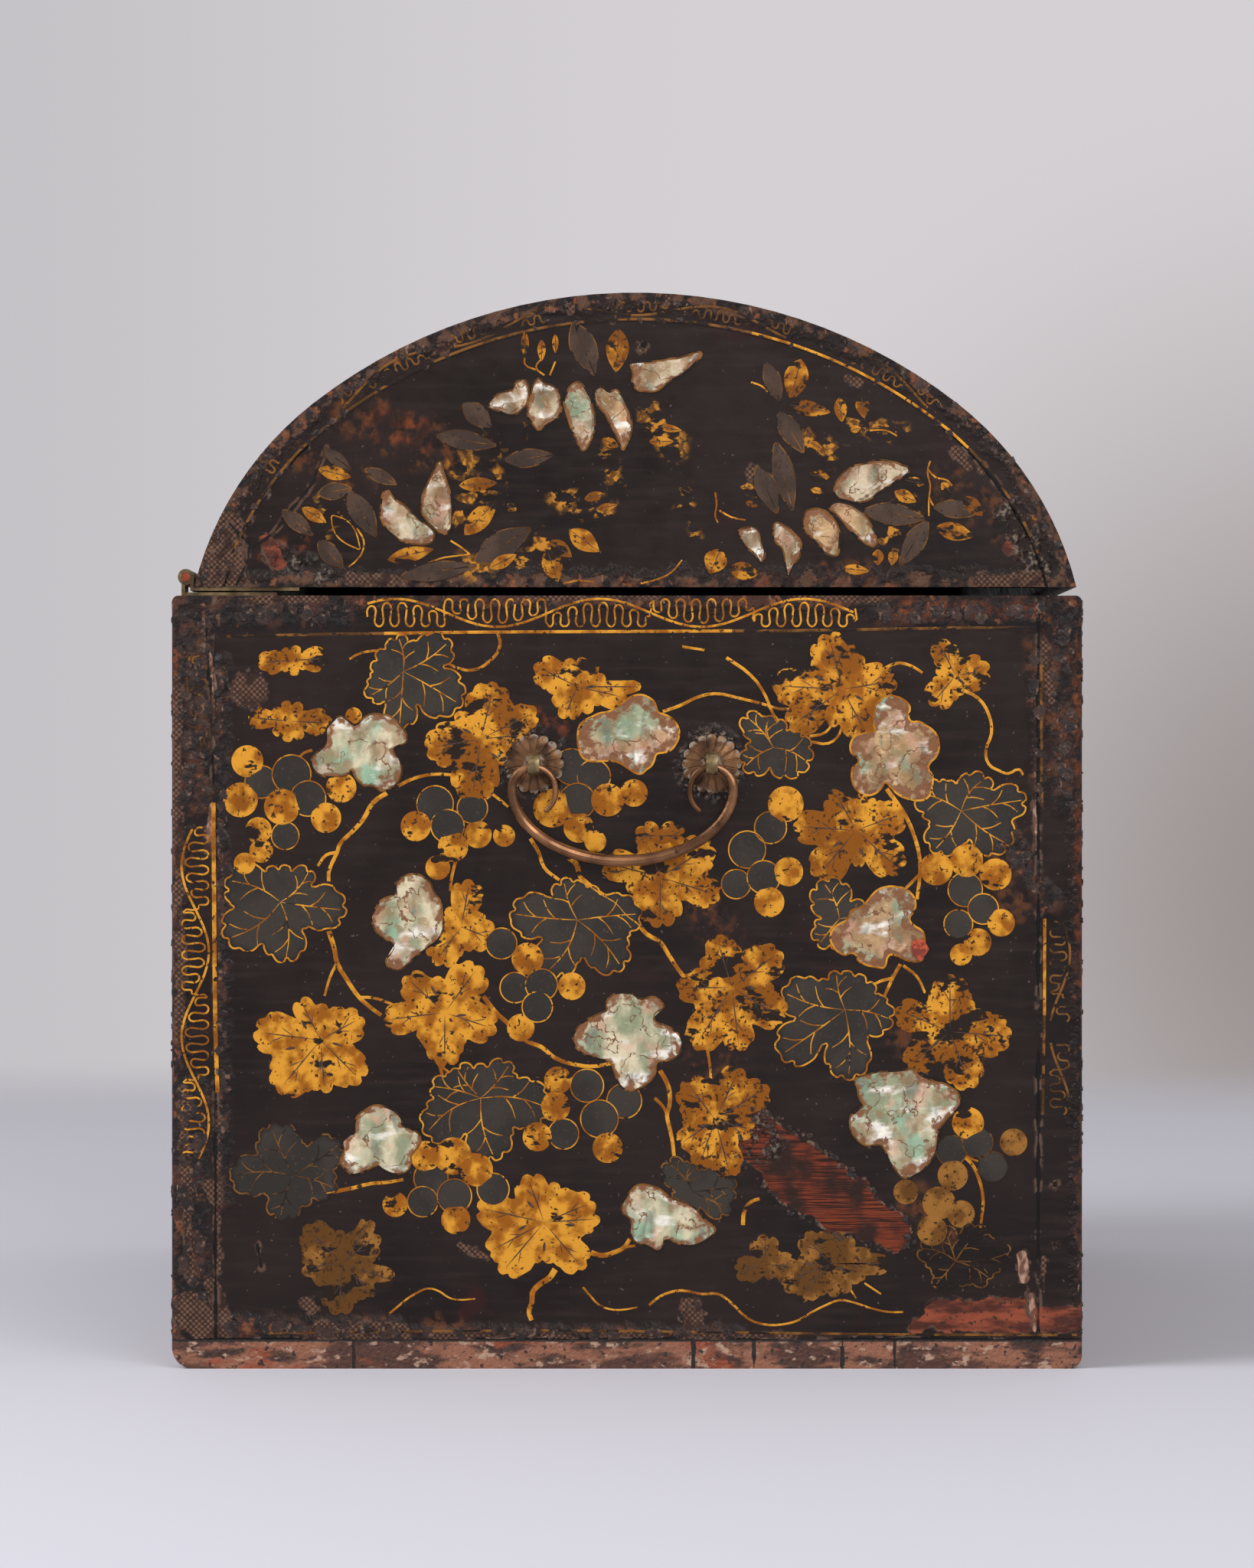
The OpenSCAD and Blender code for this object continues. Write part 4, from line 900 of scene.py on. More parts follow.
LEFT_STEMS = [
    (1.3, [(83, 211), (78, 213.5), (70, 215.3), (63, 215)]),
    (1.7, [(87, 208.5), (92, 205), (95.5, 199), (100, 194), (104, 190), (105, 187), (108, 180),
           (108, 176.5)]),
    (1.2, [(105, 187), (109, 186), (112, 182)]),
    (1.0, [(114, 224), (117, 223), (119.5, 220.5)]),
    (1.0, [(87, 259.5), (92, 260), (98, 258.5), (100.5, 257)]),
    (1.2, [(47, 267), (46, 262), (50, 256), (56, 253), (62, 254), (65, 255.5)]),
    (1.1, [(50, 209), (46, 206), (43, 203.5)]),
    (1.2, [(-36, 257.5), (-45, 251), (-50, 244), (-53, 237), (-56, 233.5)]),
    (1.2, [(-13, 238), (-20, 240.5), (-25, 243), (-32, 244.5), (-40, 243), (-50, 240.5),
           (-55, 239), (-60, 239)]),
    (1.0, [(-20, 261.5), (-28, 260.3)]),
    (1.2, [(-92, 253), (-98, 255.5), (-103, 254.5), (-107, 252)]),
    (1.2, [(-121, 246), (-127, 243), (-131, 237), (-132, 230), (-130, 224), (-131, 219),
           (-135, 216.5), (-138, 215.5), (-142, 217), (-143.5, 215)]),
    (1.0, [(-66, 229), (-72, 230.5), (-75, 235)]),
    (1.0, [(-67, 227), (-73, 226.5), (-77, 230), (-78, 236)]),
    (1.6, [(-94, 210), (-97, 206), (-101, 200), (-104, 193), (-106, 185), (-106, 178), (-105, 170)]),
    (1.2, [(-106, 179), (-101, 174)]),
    (1.8, [(108, 158.5), (106, 152), (105, 147), (101.5, 141), (97, 134.5), (92.5, 130.5),
           (89, 128)]),
    (1.1, [(105, 147), (107.5, 142), (109.5, 135)]),
    (1.1, [(97, 134.5), (92, 134.3), (85, 132)]),
    (1.4, [(75, 120), (71, 114), (68, 110), (66.5, 103)]),
    (1.0, [(68, 110), (64, 107)]),
    (1.2, [(62, 184), (63.5, 178), (64, 173)]),
    (1.4, [(35, 192), (32, 187), (30, 181.5), (26, 178), (24.5, 177)]),
    (1.9, [(21, 185), (18.5, 183), (17, 178.5), (13, 174.5), (8, 171), (4, 168.5), (0, 164),
           (-4, 161), (-7, 157.5), (-12, 154.5), (-15, 150), (-19, 144), (-21, 141.5)]),
    (1.7, [(52, 135), (48, 129.5), (43, 125), (36, 118.5), (31, 116.5), (26, 112.5), (18, 110),
           (12, 109.5), (6, 110.5)]),
    (1.7, [(-12, 108), (-15, 102), (-15.5, 96), (-14.5, 92), (-15.5, 87), (-16.5, 82),
           (-17, 77)]),
    (1.2, [(-10, 98), (-13, 95), (-14.5, 92)]),
    (1.1, [(-29, 116), (-30, 110), (-30.5, 103)]),
    (1.3, [(-99, 146.5), (-96, 141), (-92, 132)]),
    (1.1, [(-96, 141.5), (-90, 139.5), (-86, 135.5)]),
    (1.1, [(-100, 146), (-105, 142), (-108, 136)]),
    (1.5, [(109, 63.5), (104, 64.5), (99, 65.5), (93, 67), (87, 67.5), (81, 68.5)]),
    (0.8, [(86, 20), (83, 22.5), (80, 25), (76, 27.5), (72, 29), (68, 28), (65, 26), (62, 25),
           (55, 25.3)]),
    (1.9, [(13, 42), (9, 41), (5, 42), (1, 44), (-1, 47)]),
    (1.1, [(1, 44), (-3, 44.5)]),
    (2.2, [(26, 36), (28, 33), (31, 31), (34, 28), (34.5, 24), (35.5, 20.5), (34.5, 17.5)]),
    (0.8, [(16, 29.5), (13, 26), (10, 23), (6, 21.5), (2, 21.3), (-4, 22.3)]),
    (0.95, [(-8, 23), (-11, 25.5), (-15, 27.5), (-20, 28.3), (-27, 27), (-33, 27), (-37, 24.5),
           (-44, 18), (-50, 16), (-56, 16), (-62, 17.5), (-67, 20.5), (-72, 23), (-77, 24.8),
           (-82, 24), (-88, 22), (-95, 20.5), (-100, 20.5)]),
    (1.5, [(-42, 52), (-42.5, 57), (-45, 60.5), (-48, 61.5)]),
    (1.3, [(-122, 77), (-125, 74), (-127, 70), (-128.5, 65), (-129, 60), (-128.5, 55), (-128, 51)]),
    (0.8, [(-122, 77.5), (-126, 75.5), (-128, 75)]),
    (0.7, [(-80, 30), (-83, 25.5)]),
    (0.7, [(-86, 31), (-92, 27)]),
]
for width, points in LEFT_STEMS:
    left_end.stroke(points, width)
for centre, lobes in LEFT_DARK_LEAVES:
    left_end.leaf("dark", centre, lobes, faint=centre in LEFT_FAINT_LEAVES)
for (centre, lobes, slits), age in zip(LEFT_GOLD_LEAVES, LEFT_GOLD_AGES):
    left_end.leaf("dull" if centre in LEFT_DULL_LEAVES else "gold", centre, lobes, slits, age)
for u, v, r in LEFT_DARK_GRAPES:
    left_end.grape("dark", u, v, r, faint=u < -100 and v < 95)
for u, v, r in LEFT_GOLD_GRAPES:
    left_end.grape("dull" if u < -100 and v < 85 else "gold", u, v, r)
for finish, age, centre, corners in LEFT_SHELLS:
    left_end.shell(finish, centre, corners, age, faint=finish == "shell")
LEFT_BORDER_LINES = [
    (1.1, False, [(88, 266.3), (60, 266.7), (0, 267), (-38, 267.2)]),
    (1.0, True, [(145, 265.2), (110, 266), (88, 266.3)]),
    (1.0, True, [(-38, 267.2), (-60, 267.3), (-120, 268.3), (-146, 268.4)]),
    (1.5, False, [(149.8, 205), (149.5, 160), (149, 120), (148.3, 100)]),
    (1.1, True, [(-150, 255), (-150.2, 205)]),
    (1.1, False, [(-151.3, 163), (-151.2, 128)]),
    (1.0, True, [(-151.2, 128), (-150.6, 92)]),
    (0.9, True, [(138, 12.8), (66, 13.6), (30, 13.8), (-60, 12.8), (-100, 12.4), (-163, 12.2)]),
]
for width, faint, points in LEFT_BORDER_LINES:
    left_end.stroke(points, width, taper=1.0, faint=faint)
upright = lambda along, across: (across, along)
border(left_end, 94, -84, 268, 279.5)
border(left_end, 196, 76, 150.8, 162, wave=62, phase=182, at=upright)
border(left_end, 258, 224, 151.5, 160, wave=62, phase=250, at=upright, faint=True)
border(left_end, 162, 92, -152.5, -161, wave=56, phase=150, at=upright, worn=[(118, 126)], faint=True)
left_end.leaf("line", (-119, 39), [(-111, 42, 5.5), (-116, 47, 4.5), (-126, 47, 5.5), (-133, 41, 6),
                                   (-127, 35, 5.5), (-114, 33, 4)], faint=True)
left_end.plate("red", [(-103, 154.5), (-107, 156), (-109.5, 152), (-106.5, 147.5), (-103.5, 150)],
               (-106, 152), 0.75, 0.1)


def shaded(colour, share):
    """The same colour with that share of its light."""
    return tuple(c * share for c in colour[:3]) + (1.0,)


def gold(name, rubbed, low=paint(158, 92, 14), high=paint(228, 160, 48)):
    """Gold powder in clear lacquer, mottled brown and rubbed through in crisp flakes."""
    f = Finish(name, metallic=0.3, specular=0.25)
    age = f.told("age")
    tone = f.patched(low, high, 0.38, 0.60, 0.006, detail=6.0)
    brown = f.grain(0.014, detail=6.0, shift=6.0) + age * 0.20
    tone = f.blend(f.mask(brown, 0.55, 0.65), tone, shaded(low, 0.8))
    fine = f.grain(0.0016, detail=3.0, shift=4.0) + age * 0.07
    tone = f.blend(f.mask(fine, 0.60, 0.66), tone, paint(70, 44, 20))
    gone = (f.grain(0.0022, (1, 0.45, 1), detail=5.0, shift=12.0) * 0.30
            + f.grain(0.012, (1, 1, 1.6), detail=7.0, shift=2.0) * 0.70 + age * 0.08)
    gone = f.mask(gone, rubbed - 0.02, rubbed + 0.01)
    tone = f.blend(gone, tone, paint(38, 27, 20))
    return f.close(tone, f.grain(0.004) * 0.3 + 0.28, f.grain(0.0015, detail=4.0) - gone, 0.0001)


def nacre(name, deep, light, stained, tint=1.0):
    """Lumpy mother-of-pearl, stained brown at its edge and along its fine cracks."""
    f = Finish(name, coat=0.4, specular=0.5)
    tone = f.patched(deep, light, 0.38, 0.62, 0.013, (1, 1.4, 0.8))
    pink = f.spots(0.52, 0.68, 0.012, detail=2.0, shift=3.0) * (0.75 * tint)
    tone = f.blend(pink, tone, paint(224, 166, 142))
    mint = f.spots(0.50, 0.66, 0.014, detail=2.0, shift=7.0) * (0.8 * tint)
    tone = f.blend(mint, tone, paint(142, 188, 158))
    # The near-white streaks are painted highlights on the shell.
    tone = f.patched(tone, paint(252, 248, 236), 0.54, 0.68, 0.009, (1, 0.6, 1.5), shift=8.0)
    grey = f.spots(0.54, 0.68, 0.010, (1, 1.5, 0.7), shift=21.0)
    tone = f.blend(grey * 0.8, tone, paint(112, 122, 104))
    veil = f.grain(0.006, detail=7.0, shift=15.0) + f.told("age") * 0.1
    tone = f.blend(f.mask(veil, 0.52, 0.66) * 0.6, tone, paint(150, 112, 66))
    vein = abs(f.grain(0.012, detail=6.0, shift=5.0) - 0.5)
    edge = f.mask(f.told("inset") + f.wander(0.005, 0.16), stained + 0.1, stained)
    stain = (f.most(f.mask(vein, 0.011, 0.004), edge)
             * f.spots(0.36, 0.52, 0.003, detail=5.0, shift=11.0))
    tone = f.blend(stain, tone, paint(128, 78, 34))
    return f.close(tone, stain * 0.3 + 0.14, f.grain(0.007, shift=2.0) - stain * 0.15, 0.0018)


f = Finish("grey_lacquer", coat=0.05, specular=0.3)
grey = f.patched(paint(40, 35, 30), paint(54, 48, 41), 0.4, 0.62, 0.02, detail=4.0)
grey = f.patched(grey, paint(70, 58, 44), 0.6, 0.72, 0.0012, detail=4.0, shift=5.0)
grey = f.blend(f.mask(f.told("inset"), 0.12, 0.0), grey, paint(26, 20, 18))
grey_lacquer = f.close(grey, 0.42, f.grain(0.002, detail=4.0), 0.0001)

f = Finish("slit_lacquer")
slit_lacquer = f.close(f.patched(paint(40, 28, 22), paint(84, 54, 28), 0.4, 0.6, 0.002), 0.5)

f = Finish("film", coat=0.05, specular=0.35)
scrap = f.patched(paint(30, 20, 18), paint(58, 38, 30), 0.42, 0.6, 0.006, detail=5.0)
scrap = f.patched(scrap, paint(112, 84, 68), 0.56, 0.66, 0.0024, detail=5.0, shift=5.0)
film_finish = f.close(scrap, 0.34, f.grain(0.0018, detail=5.0), 0.0006)

f = Finish("red_lacquer", coat=0.1)
red = f.patched(paint(120, 40, 20), paint(196, 76, 34), 0.4, 0.6, 0.002, detail=4.0)
finishes = {
    "film": film_finish, "red": f.close(red, 0.4), "black": slit_lacquer, "dark": grey_lacquer,
    "gold": gold("gold_leaf", 0.60), "line": gold("gold_line", 0.64),
    "dull": gold("dull_gold", 0.63, paint(112, 72, 26), paint(158, 108, 46)),
    "faint": gold("faint_gold", 0.53, paint(84, 54, 22), paint(132, 88, 38)),
    "shell": nacre("shell", paint(144, 152, 118), paint(224, 212, 178), 0.10),
    "old_shell": nacre("old_shell", paint(140, 112, 72), paint(206, 168, 120), 0.24, 0.7),
}
crazed = BOX_LOSSES[0][1]
for y0, z0, y1, z1, half in crazed:
    length = math.hypot(y1 - y0, z1 - z0)
    for k in range(int((length + half) * half / 9) + 1):
        t, size = left_end.chance.random(), left_end.chance.uniform(0.8, 2.6)
        left_end.flake(y0 + (y1 - y0) * t + left_end.chance.uniform(-half, half) * 0.8,
                       z0 + (z1 - z0) * t + left_end.chance.uniform(-half, half) * 0.5, size)
PATCH_EDGE = [(-36, 91), (-45, 95), (-53, 92), (-59, 87), (-66, 84), (-72, 79), (-79, 73), (-86, 67),
              (-95, 60), (-102, 52), (-103, 45), (-96, 42), (-87, 45), (-77, 48), (-67, 53), (-58, 58),
              (-50, 66), (-42, 74), (-36, 82)]
for (y0, z0), (y1, z1) in zip(PATCH_EDGE, PATCH_EDGE[1:] + PATCH_EDGE[:1]):
    for k in range(5):
        t = left_end.chance.random()
        y = y0 + (y1 - y0) * t + left_end.chance.uniform(-1, 1)
        z = z0 + (z1 - z0) * t + left_end.chance.uniform(-1, 1)
        left_end.flake(y, z, left_end.chance.uniform(0.4, 1.3))
for k in range(60):
    a, (y, z, r) = left_end.chance.uniform(0, 6.28), ((137, 246, 7), (-24, 18, 5), (-47, 84, 6))[k % 3]
    left_end.flake(y + r * math.cos(a), z + r * math.sin(a), left_end.chance.uniform(0.4, 1.2))


def crust(d):
    """Crumbs of dirt and broken film pressed round both rosettes of an end."""
    for k in range(80):
        a, r = d.chance.uniform(0, 2 * math.pi), 10.6 + 3.6 * d.chance.random() ** 2
        y, z = ROSETTES[0 if k % 2 else 1]
        d.flake(y + r * math.cos(a), z + r * math.sin(a), d.chance.uniform(0.35, 1.1))


crust(left_end)
left_end.make(finishes)


# Grapevine on the front and the right end
# The same vine runs on over the other faces. The photograph doesn't show them, so its
# leaves and bunches are set out in rows that a winding stem joins, as on the left end.
def any_shell(d, u, v, size, turn):
    """One of the left end's shell pieces, about 17 mm in radius, turned and cut smaller."""
    _, age, (near_u, near_v), corners = d.chance.choice(LEFT_SHELLS)
    du, dv = math.cos(turn) * size / 17, math.sin(turn) * size / 17
    d.shell("shell", (u, v), [(u + (a - near_u) * du - (b - near_v) * dv,
                               v + (a - near_u) * dv + (b - near_v) * du) for a, b in corners], age)


def any_leaf(d, finish, u, v, size, turn):
    """A leaf of five lobes, open towards its stalk."""
    lobes = []
    for k in range(5):
        a = turn + (k - 2) * 5.2 / 5
        far = size * d.chance.uniform(0.52, 0.66)
        lobes.append((u + far * math.cos(a), v + far * math.sin(a),
                      size * d.chance.uniform(0.38, 0.48)))
    slits = [lobes[k][:2] for k in (1, 3)] if finish == "gold" else ()
    d.leaf(finish, (u, v), lobes, slits)


def bunch(d, u, v, turn):
    """Eight grapes heaped from the stalk to a point, grey ones between gold ones."""
    across = (-math.sin(turn), math.cos(turn))
    for row, count in enumerate((2, 3, 2, 1)):
        for k in range(count):
            off = (k - (count - 1) / 2) * 11 + d.chance.uniform(-1, 1)
            along = (row - 1.4) * 9.5 + d.chance.uniform(-1, 1)
            d.grape("dark" if (row + k) % 2 == 0 and row < 3 else "gold",
                    u + along * math.cos(turn) + off * across[0],
                    v + along * math.sin(turn) + off * across[1], d.chance.uniform(4.6, 6.2))


VINE_KINDS = ["gold", "gold", "gold", "bunch", "bunch", "dark", "dark", "shell"]


def vine(d, u0, u1, v0, v1, keep):
    """Rows of leaves and bunches over a face where keep allows, joined by winding stems."""
    rows, columns = round((v1 - v0) / 39), round((u1 - u0) / 41)
    places, above = [], {}
    for row in range(rows):
        stem, last = [], ""
        for column in range(columns):
            u = u0 + (u1 - u0) * (column + (0.75 if row % 2 else 0.25)) / columns
            u += d.chance.uniform(-7, 7)
            v = v0 + (v1 - v0) * (row + 0.5) / rows + d.chance.uniform(-8, 8)
            kind = last
            while kind in (last, above.get(column)):
                kind = d.chance.choice(VINE_KINDS)
            last = above[column] = kind
            if keep(u, v):
                places.append((kind, u, v, d.chance.uniform(0, 2 * math.pi)))
                lift = 13 if column % 2 else -13
                stem += [(u - 9, v + lift * 0.4), (u + 9, v + lift)]
            elif len(stem) > 2:
                d.stroke(stem, 1.7)
                stem = []
        if len(stem) > 2:
            d.stroke(stem, 1.7)
    for kind, u, v, turn in places:
        du, dv = math.cos(turn), math.sin(turn)
        curl = [(u - du * 12, v - dv * 12), (u - du * 19 + dv * 3, v - dv * 19 - du * 3),
                (u - du * 25 - dv * 2, v - dv * 25 + du * 2)]
        if keep(*curl[2]):
            d.stroke(curl, 1.2)
    for finish in ("dark", "bunch", "gold", "shell"):
        for kind, u, v, turn in places:
            if kind == finish == "bunch":
                bunch(d, u, v, turn)
            elif kind == finish == "shell":
                any_shell(d, u, v, d.chance.uniform(12, 15), turn)
            elif kind == finish:
                any_leaf(d, finish, u, v, d.chance.uniform(15, 20), turn)


def frame_lines(d, half, bands=True):
    """Gold lines round a face of the box, with tendril bands above and beside them."""
    inner, low, high, steps = half - 15.5, 13, BOX_HIGH - 13.5, 12
    for (u0, v0), (u1, v1) in (((-inner, low), (inner, low)), ((-inner, high), (inner, high)),
                               ((-inner, low), (-inner, high)), ((inner, low), (inner, high))):
        d.stroke([(u0 + (u1 - u0) * k / steps, v0 + (v1 - v0) * k / steps)
                  for k in range(steps + 1)], 1.5, taper=1.0)
    if bands:
        border(d, -inner, inner, high + 1, BOX_HIGH - 2)
        for side in (-1, 1):
            border(d, 24, BOX_HIGH - 22, side * (inner + 1), side * (half - 3), at=upright)


def edge_flakes(d, half, count):
    """Scraps of film lifting along the edges of a face."""
    for k in range(count):
        off, size = d.chance.uniform(1.2, 4.5), d.chance.uniform(0.5, 1.7)
        if k % 2:
            u = d.chance.uniform(4 - half, half - 4)
            d.flake(u, BOX_HIGH - off if k % 4 == 1 else 11.5 + off, size)
        else:
            u = (half - off) * (1 if k % 4 else -1)
            d.flake(u, d.chance.uniform(12, BOX_HIGH - 3), size)


front = Decoration("front", "box", lambda u, v, h: (u, -BOX_HALF_WIDE - h, v), half=289, seed=5)
vine(front, -268, 268, 16, 262, lambda u, v: math.hypot(u, max(0, 212 - v) * 1.1) > 50)
frame_lines(front, BOX_HALF_LONG)
edge_flakes(front, BOX_HALF_LONG, 180)
front.make(finishes)

right_end = Decoration("right_end", "box", lambda u, v, h: (BOX_HALF_LONG + h, u, v), seed=8)
vine(right_end, -143, 143, 18, 262, lambda u, v: True)
frame_lines(right_end, BOX_HALF_WIDE)
edge_flakes(right_end, BOX_HALF_WIDE, 150)
crust(right_end)
right_end.make(finishes)

back = Decoration("back", "box", lambda u, v, h: (u, BOX_HALF_WIDE + h, v), half=289, seed=3)
frame_lines(back, BOX_HALF_LONG, bands=False)
edge_flakes(back, BOX_HALF_LONG, 140)
back.make(finishes)


# Lid boards
# Staves under the same lacquer over two arched end panels, with a wide crown and a
# tighter haunch at each side. At the photographed end the rim is rubbed brown, painted
# lighter there as a highlight; the lowest stave at the back is bare, and old cracks run from it.
ARCH_FORWARD = 3
CROWN_Z, CROWN_RADIUS = 200, 190
HAUNCH_OUT, HAUNCH_Z, HAUNCH_RADIUS = 42.5, 254.4, 121
HAUNCH_FROM = math.radians(38)
LID_HALF_LONG = 287


def lid_depth(f):
    """How far a point lies under the arch, in metres."""
    side, up = abs(f.y + ARCH_FORWARD / 1000), f.z - CROWN_Z / 1000
    crown = CROWN_RADIUS / 1000 - f.calc("SQRT", side * side + up * up)
    over, rise = side - HAUNCH_OUT / 1000, f.z - HAUNCH_Z / 1000
    haunch = HAUNCH_RADIUS / 1000 - f.calc("SQRT", over * over + rise * rise)
    past = f.calc("GREATER_THAN", side, up * math.tan(HAUNCH_FROM))
    return crown + past * (haunch - crown)


def lid_edge(f):
    return f.middle(LID_HALF_LONG / 1000 - abs(f.x), lid_depth(f), f.z - 0.2832)


def lid_cracks(f):
    """The end panel's joint shows towards both haunches."""
    return abs(lid_depth(f) - 0.0103) + f.mask(abs(f.y), 0.115, 0.095)


LID_LOSSES = [
    ("haze", [(98, 346, 66, 332, 9), (-116, 322, -138, 304, 7), (-142, 312, -148, 288, 5),
              (118, 330, 96, 322, 5), (-72, 288, -100, 289, 4)], 3.0),
    ("rust", [(90, 343, 74, 337, 5), (130, 296, 118, 300, 3), (-40, 284.6, -58, 285, 2)], 2.0),
    ("gilt", [(-9, 345, -18, 333, 3.5), (24, 315, 8, 312, 3.5), (30, 299, 38, 289, 4),
              (62, 310, 48, 322, 3), (52, 290, 66, 291, 3.5), (-84, 342, -100, 338, 2.5),
              (106, 318, 112, 303, 3.5), (-96, 300, -102, 313, 3.5), (-20, 318, -24, 301, 1.6),
              (8, 331, 4, 322, 2), (-46, 322, -50, 318, 2.5), (40, 340, 62, 326, 2.5),
              (-66, 336, -78, 330, 3)], 2.2),
    ("dirt", [(-140, 310, -150, 290, 5), (128, 296, 112, 288, 3)], 1.5),
    ("red", [(131, 300, 126, 292, 2.5), (-137.5, 297.5, -137.5, 297.4, 2.2)], 1.0),
    ("cloth", [(147, 304, 146, 287, 7.5), (-45, 325, -45, 324.5, 2.6), (-6, 371, -6, 370.6, 2.2),
               (-129, 326, -129, 325.6, 1.7), (100, 286, 84, 286, 2.2), (-128, 285, -150, 286, 2.5),
               (20, 385, 20, 383, 1.0), (3, 387, 3, 385.5, 1.0),
               (-15, 388, -15, 386, 1.0), (-80, 359, -84, 357, 1.4), (62, 372, 70, 368, 1.2),
               (-118, 333, -124, 327, 1.4)], 1.1),
    ("hole", [(-6.4, 371.5, -6.2, 371.2, 1.5), (144, 306, 137, 298.5, 0.6),
              (137, 298.5, 137.5, 293, 0.6), (137.5, 293, 141.6, 284, 0.6), (136, 297, 128, 303, 0.6),
              (128, 303, 121, 312, 0.5), (121, 312, 114, 321, 0.5), (114, 321, 109, 334, 0.35),
              (4, 388, 5, 380, 0.4)], 0.7),
]
# The lid's lighter rubbed tone is the brown ground with a painted highlight along the rim.
lid_lacquer = lacquer("lid_lacquer", lid_edge, LID_LOSSES, lid_cracks, paint(94, 66, 51))
finish_nodes(lid_lacquer, "left_tympanum", "right_tympanum", *[f"stave_{k}" for k in range(1, 16)])
finish_nodes(peg_wood("stave_peg_wood", lambda f: f.mask(lid_depth(f), 0.0007, 0.0003)), "stave_pegs")


# Decoration of the lid
# Sprays of almond leaves in gold, grey and shell, with a gold line and a tendril band
# along the arch. The top and the right end carry the same sprays.
def arch(s, inset):
    """The point at s mm along the arch from its top, inset mm under its surface."""
    side, run = (1 if s >= 0 else -1), CROWN_RADIUS * HAUNCH_FROM
    if abs(s) <= run:
        a, far = abs(s) / CROWN_RADIUS, CROWN_RADIUS - inset
        return (side * far * math.sin(a) - ARCH_FORWARD, CROWN_Z + far * math.cos(a))
    a, far = HAUNCH_FROM + (abs(s) - run) / HAUNCH_RADIUS, HAUNCH_RADIUS - inset
    return (side * (HAUNCH_OUT + far * math.sin(a)) - ARCH_FORWARD, HAUNCH_Z + far * math.cos(a))


def rim_lines(d):
    """The gold line and tendril band on the ends of the staves."""
    for faint, start, end in ((False, -140, -45), (True, -190, -140), (True, -45, 190)):
        steps = round((end - start) / 8)
        d.stroke([arch(start + (end - start) * k / steps, 9.6) for k in range(steps + 1)],
                 0.95, taper=1.0, faint=faint)
    border(d, -178, 168, 2.6, 8.6, wave=62, phase=0, at=arch, pitch=4.6, faint=True,
           worn=[(-170, -120), (-84, -60), (20, 34), (70, 80), (118, 150)])


def lid_end(side):
    """Lays a drawing on the lid's end, the staves standing 0.4 mm proud of the panel."""
    def place(u, v, h):
        out, up = abs(u + ARCH_FORWARD), v - CROWN_Z
        under = CROWN_RADIUS - math.hypot(out, up)
        if out > up * math.tan(HAUNCH_FROM):
            under = HAUNCH_RADIUS - math.hypot(out - HAUNCH_OUT, v - HAUNCH_Z)
        return (side * (LID_HALF_LONG - (0 if under < 10.3 else 0.4) + h), u, v)
    return place


